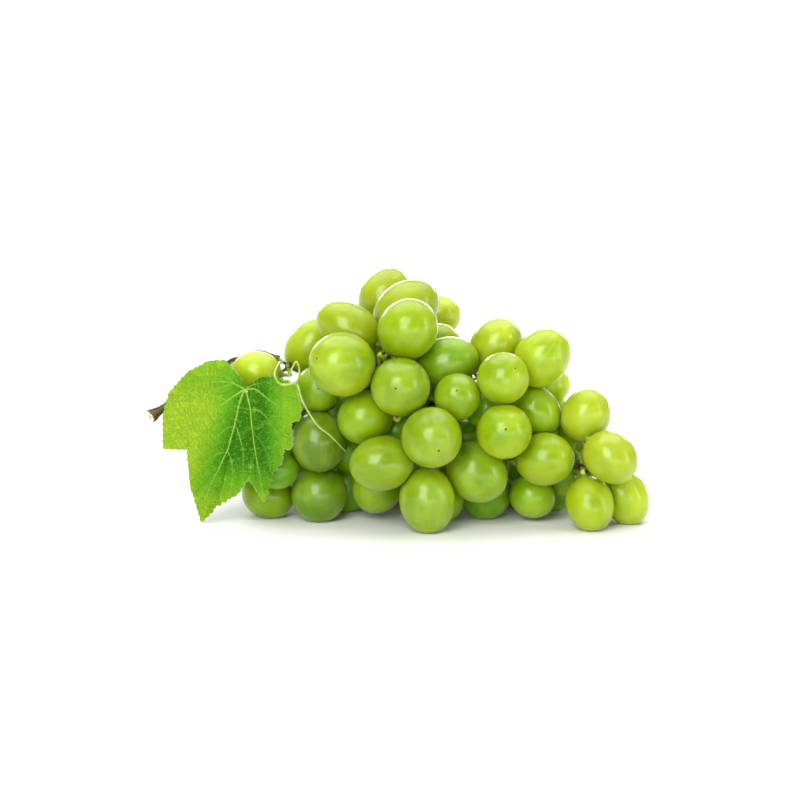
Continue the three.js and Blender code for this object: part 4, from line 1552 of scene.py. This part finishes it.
addLeaf()
print("leaf made")


studio = {
    "elevation": 9.0,  # degrees
    "distance": 900,
    "aim": (1.4, 2.7, 44.6),
    "lens": 101.25,
    "sensor": 36,
    "room": 0.1,  # brightness of the walls
    "ceiling": 0.7,
    "backdrop": 1.2,  # and of everything below the horizon
    "floor": "#e6e6e4",
    "floorSize": 1500,
    "lightAim": (0, 0, 40),
    "lights": {  # place, width and height, and power in watts
        "front_softbox": ((-290, -880, 520), (560, 760), 11.0),
        "top_softbox": ((0, 180, 950), (1300, 900), 8.5),
        "right_softbox": ((900, -420, 300), (220, 620), 2.4),
        "back_softbox": ((0, 1000, 420), (1500, 260), 6.5),
        "low_softbox": ((260, -900, 60), (1100, 200), 2.4),
    },
}


def addArea(name, place, power, width, height):
    light = bpy.data.lights.new(name, "AREA")
    light.shape = "RECTANGLE"
    light.size = width * millimetre
    light.size_y = height * millimetre
    light.energy = power
    made = newObject(name, light)
    made.location = Vector(place) * millimetre
    toward = Vector(studio["lightAim"]) * millimetre - made.location
    made.rotation_euler = toward.to_track_quat("-Z", "Y").to_euler()


def addRoom():
    # White below the horizon, like a paper sweep, dark walls and a dim ceiling
    world = bpy.data.worlds.new("studio")
    bpy.context.scene.world = world
    world.use_nodes = True
    tree = world.node_tree
    place = out(addNode(tree, "ShaderNodeTexCoord"), "Object")
    height = out(addNode(tree, "ShaderNodeSeparateXYZ", {0: place}), "Z")
    low = spread(tree, height, 0.0, 0.12, studio["backdrop"], 0.0)
    high = spread(tree, height, 0.35, 0.8, studio["room"], studio["ceiling"])
    background = tree.nodes["Background"]
    background.inputs["Color"].default_value = (1, 1, 1, 1)
    tree.links.new(calculate(tree, "ADD", low, high), background.inputs["Strength"])


def addFloor():
    # Matt paper, so that it takes soft shadows and mirrors nothing
    bpy.ops.mesh.primitive_plane_add(size=studio["floorSize"] * millimetre, location=(0, 0, 0))
    floor = bpy.context.active_object
    floor.name = "floor"
    colour = hexColour(studio["floor"])
    paper, *_ = newMaterial("matt_paper_floor", {"Base Color": colour, "Roughness": 0.9})
    floor.data.materials.append(paper)


def addStudio():
    addRoom()
    addFloor()
    for name, (place, extent, power) in studio["lights"].items():
        addArea(name, place, power, *extent)
    camera = bpy.data.cameras.new("camera")
    camera.lens = studio["lens"]
    camera.sensor_width = studio["sensor"]
    camera.clip_end = 100  # metres
    made = newObject("camera", camera)
    angle = math.radians(studio["elevation"])
    back = Vector((0, -math.cos(angle), math.sin(angle))) * studio["distance"]
    made.location = (Vector(studio["aim"]) + back) * millimetre
    made.rotation_euler = (-back).to_track_quat("-Z", "Y").to_euler()
    bpy.context.scene.camera = made
    bpy.context.scene.view_settings.view_transform = "Standard"


addStudio()
print("studio made")

bpy.context.view_layer.update()
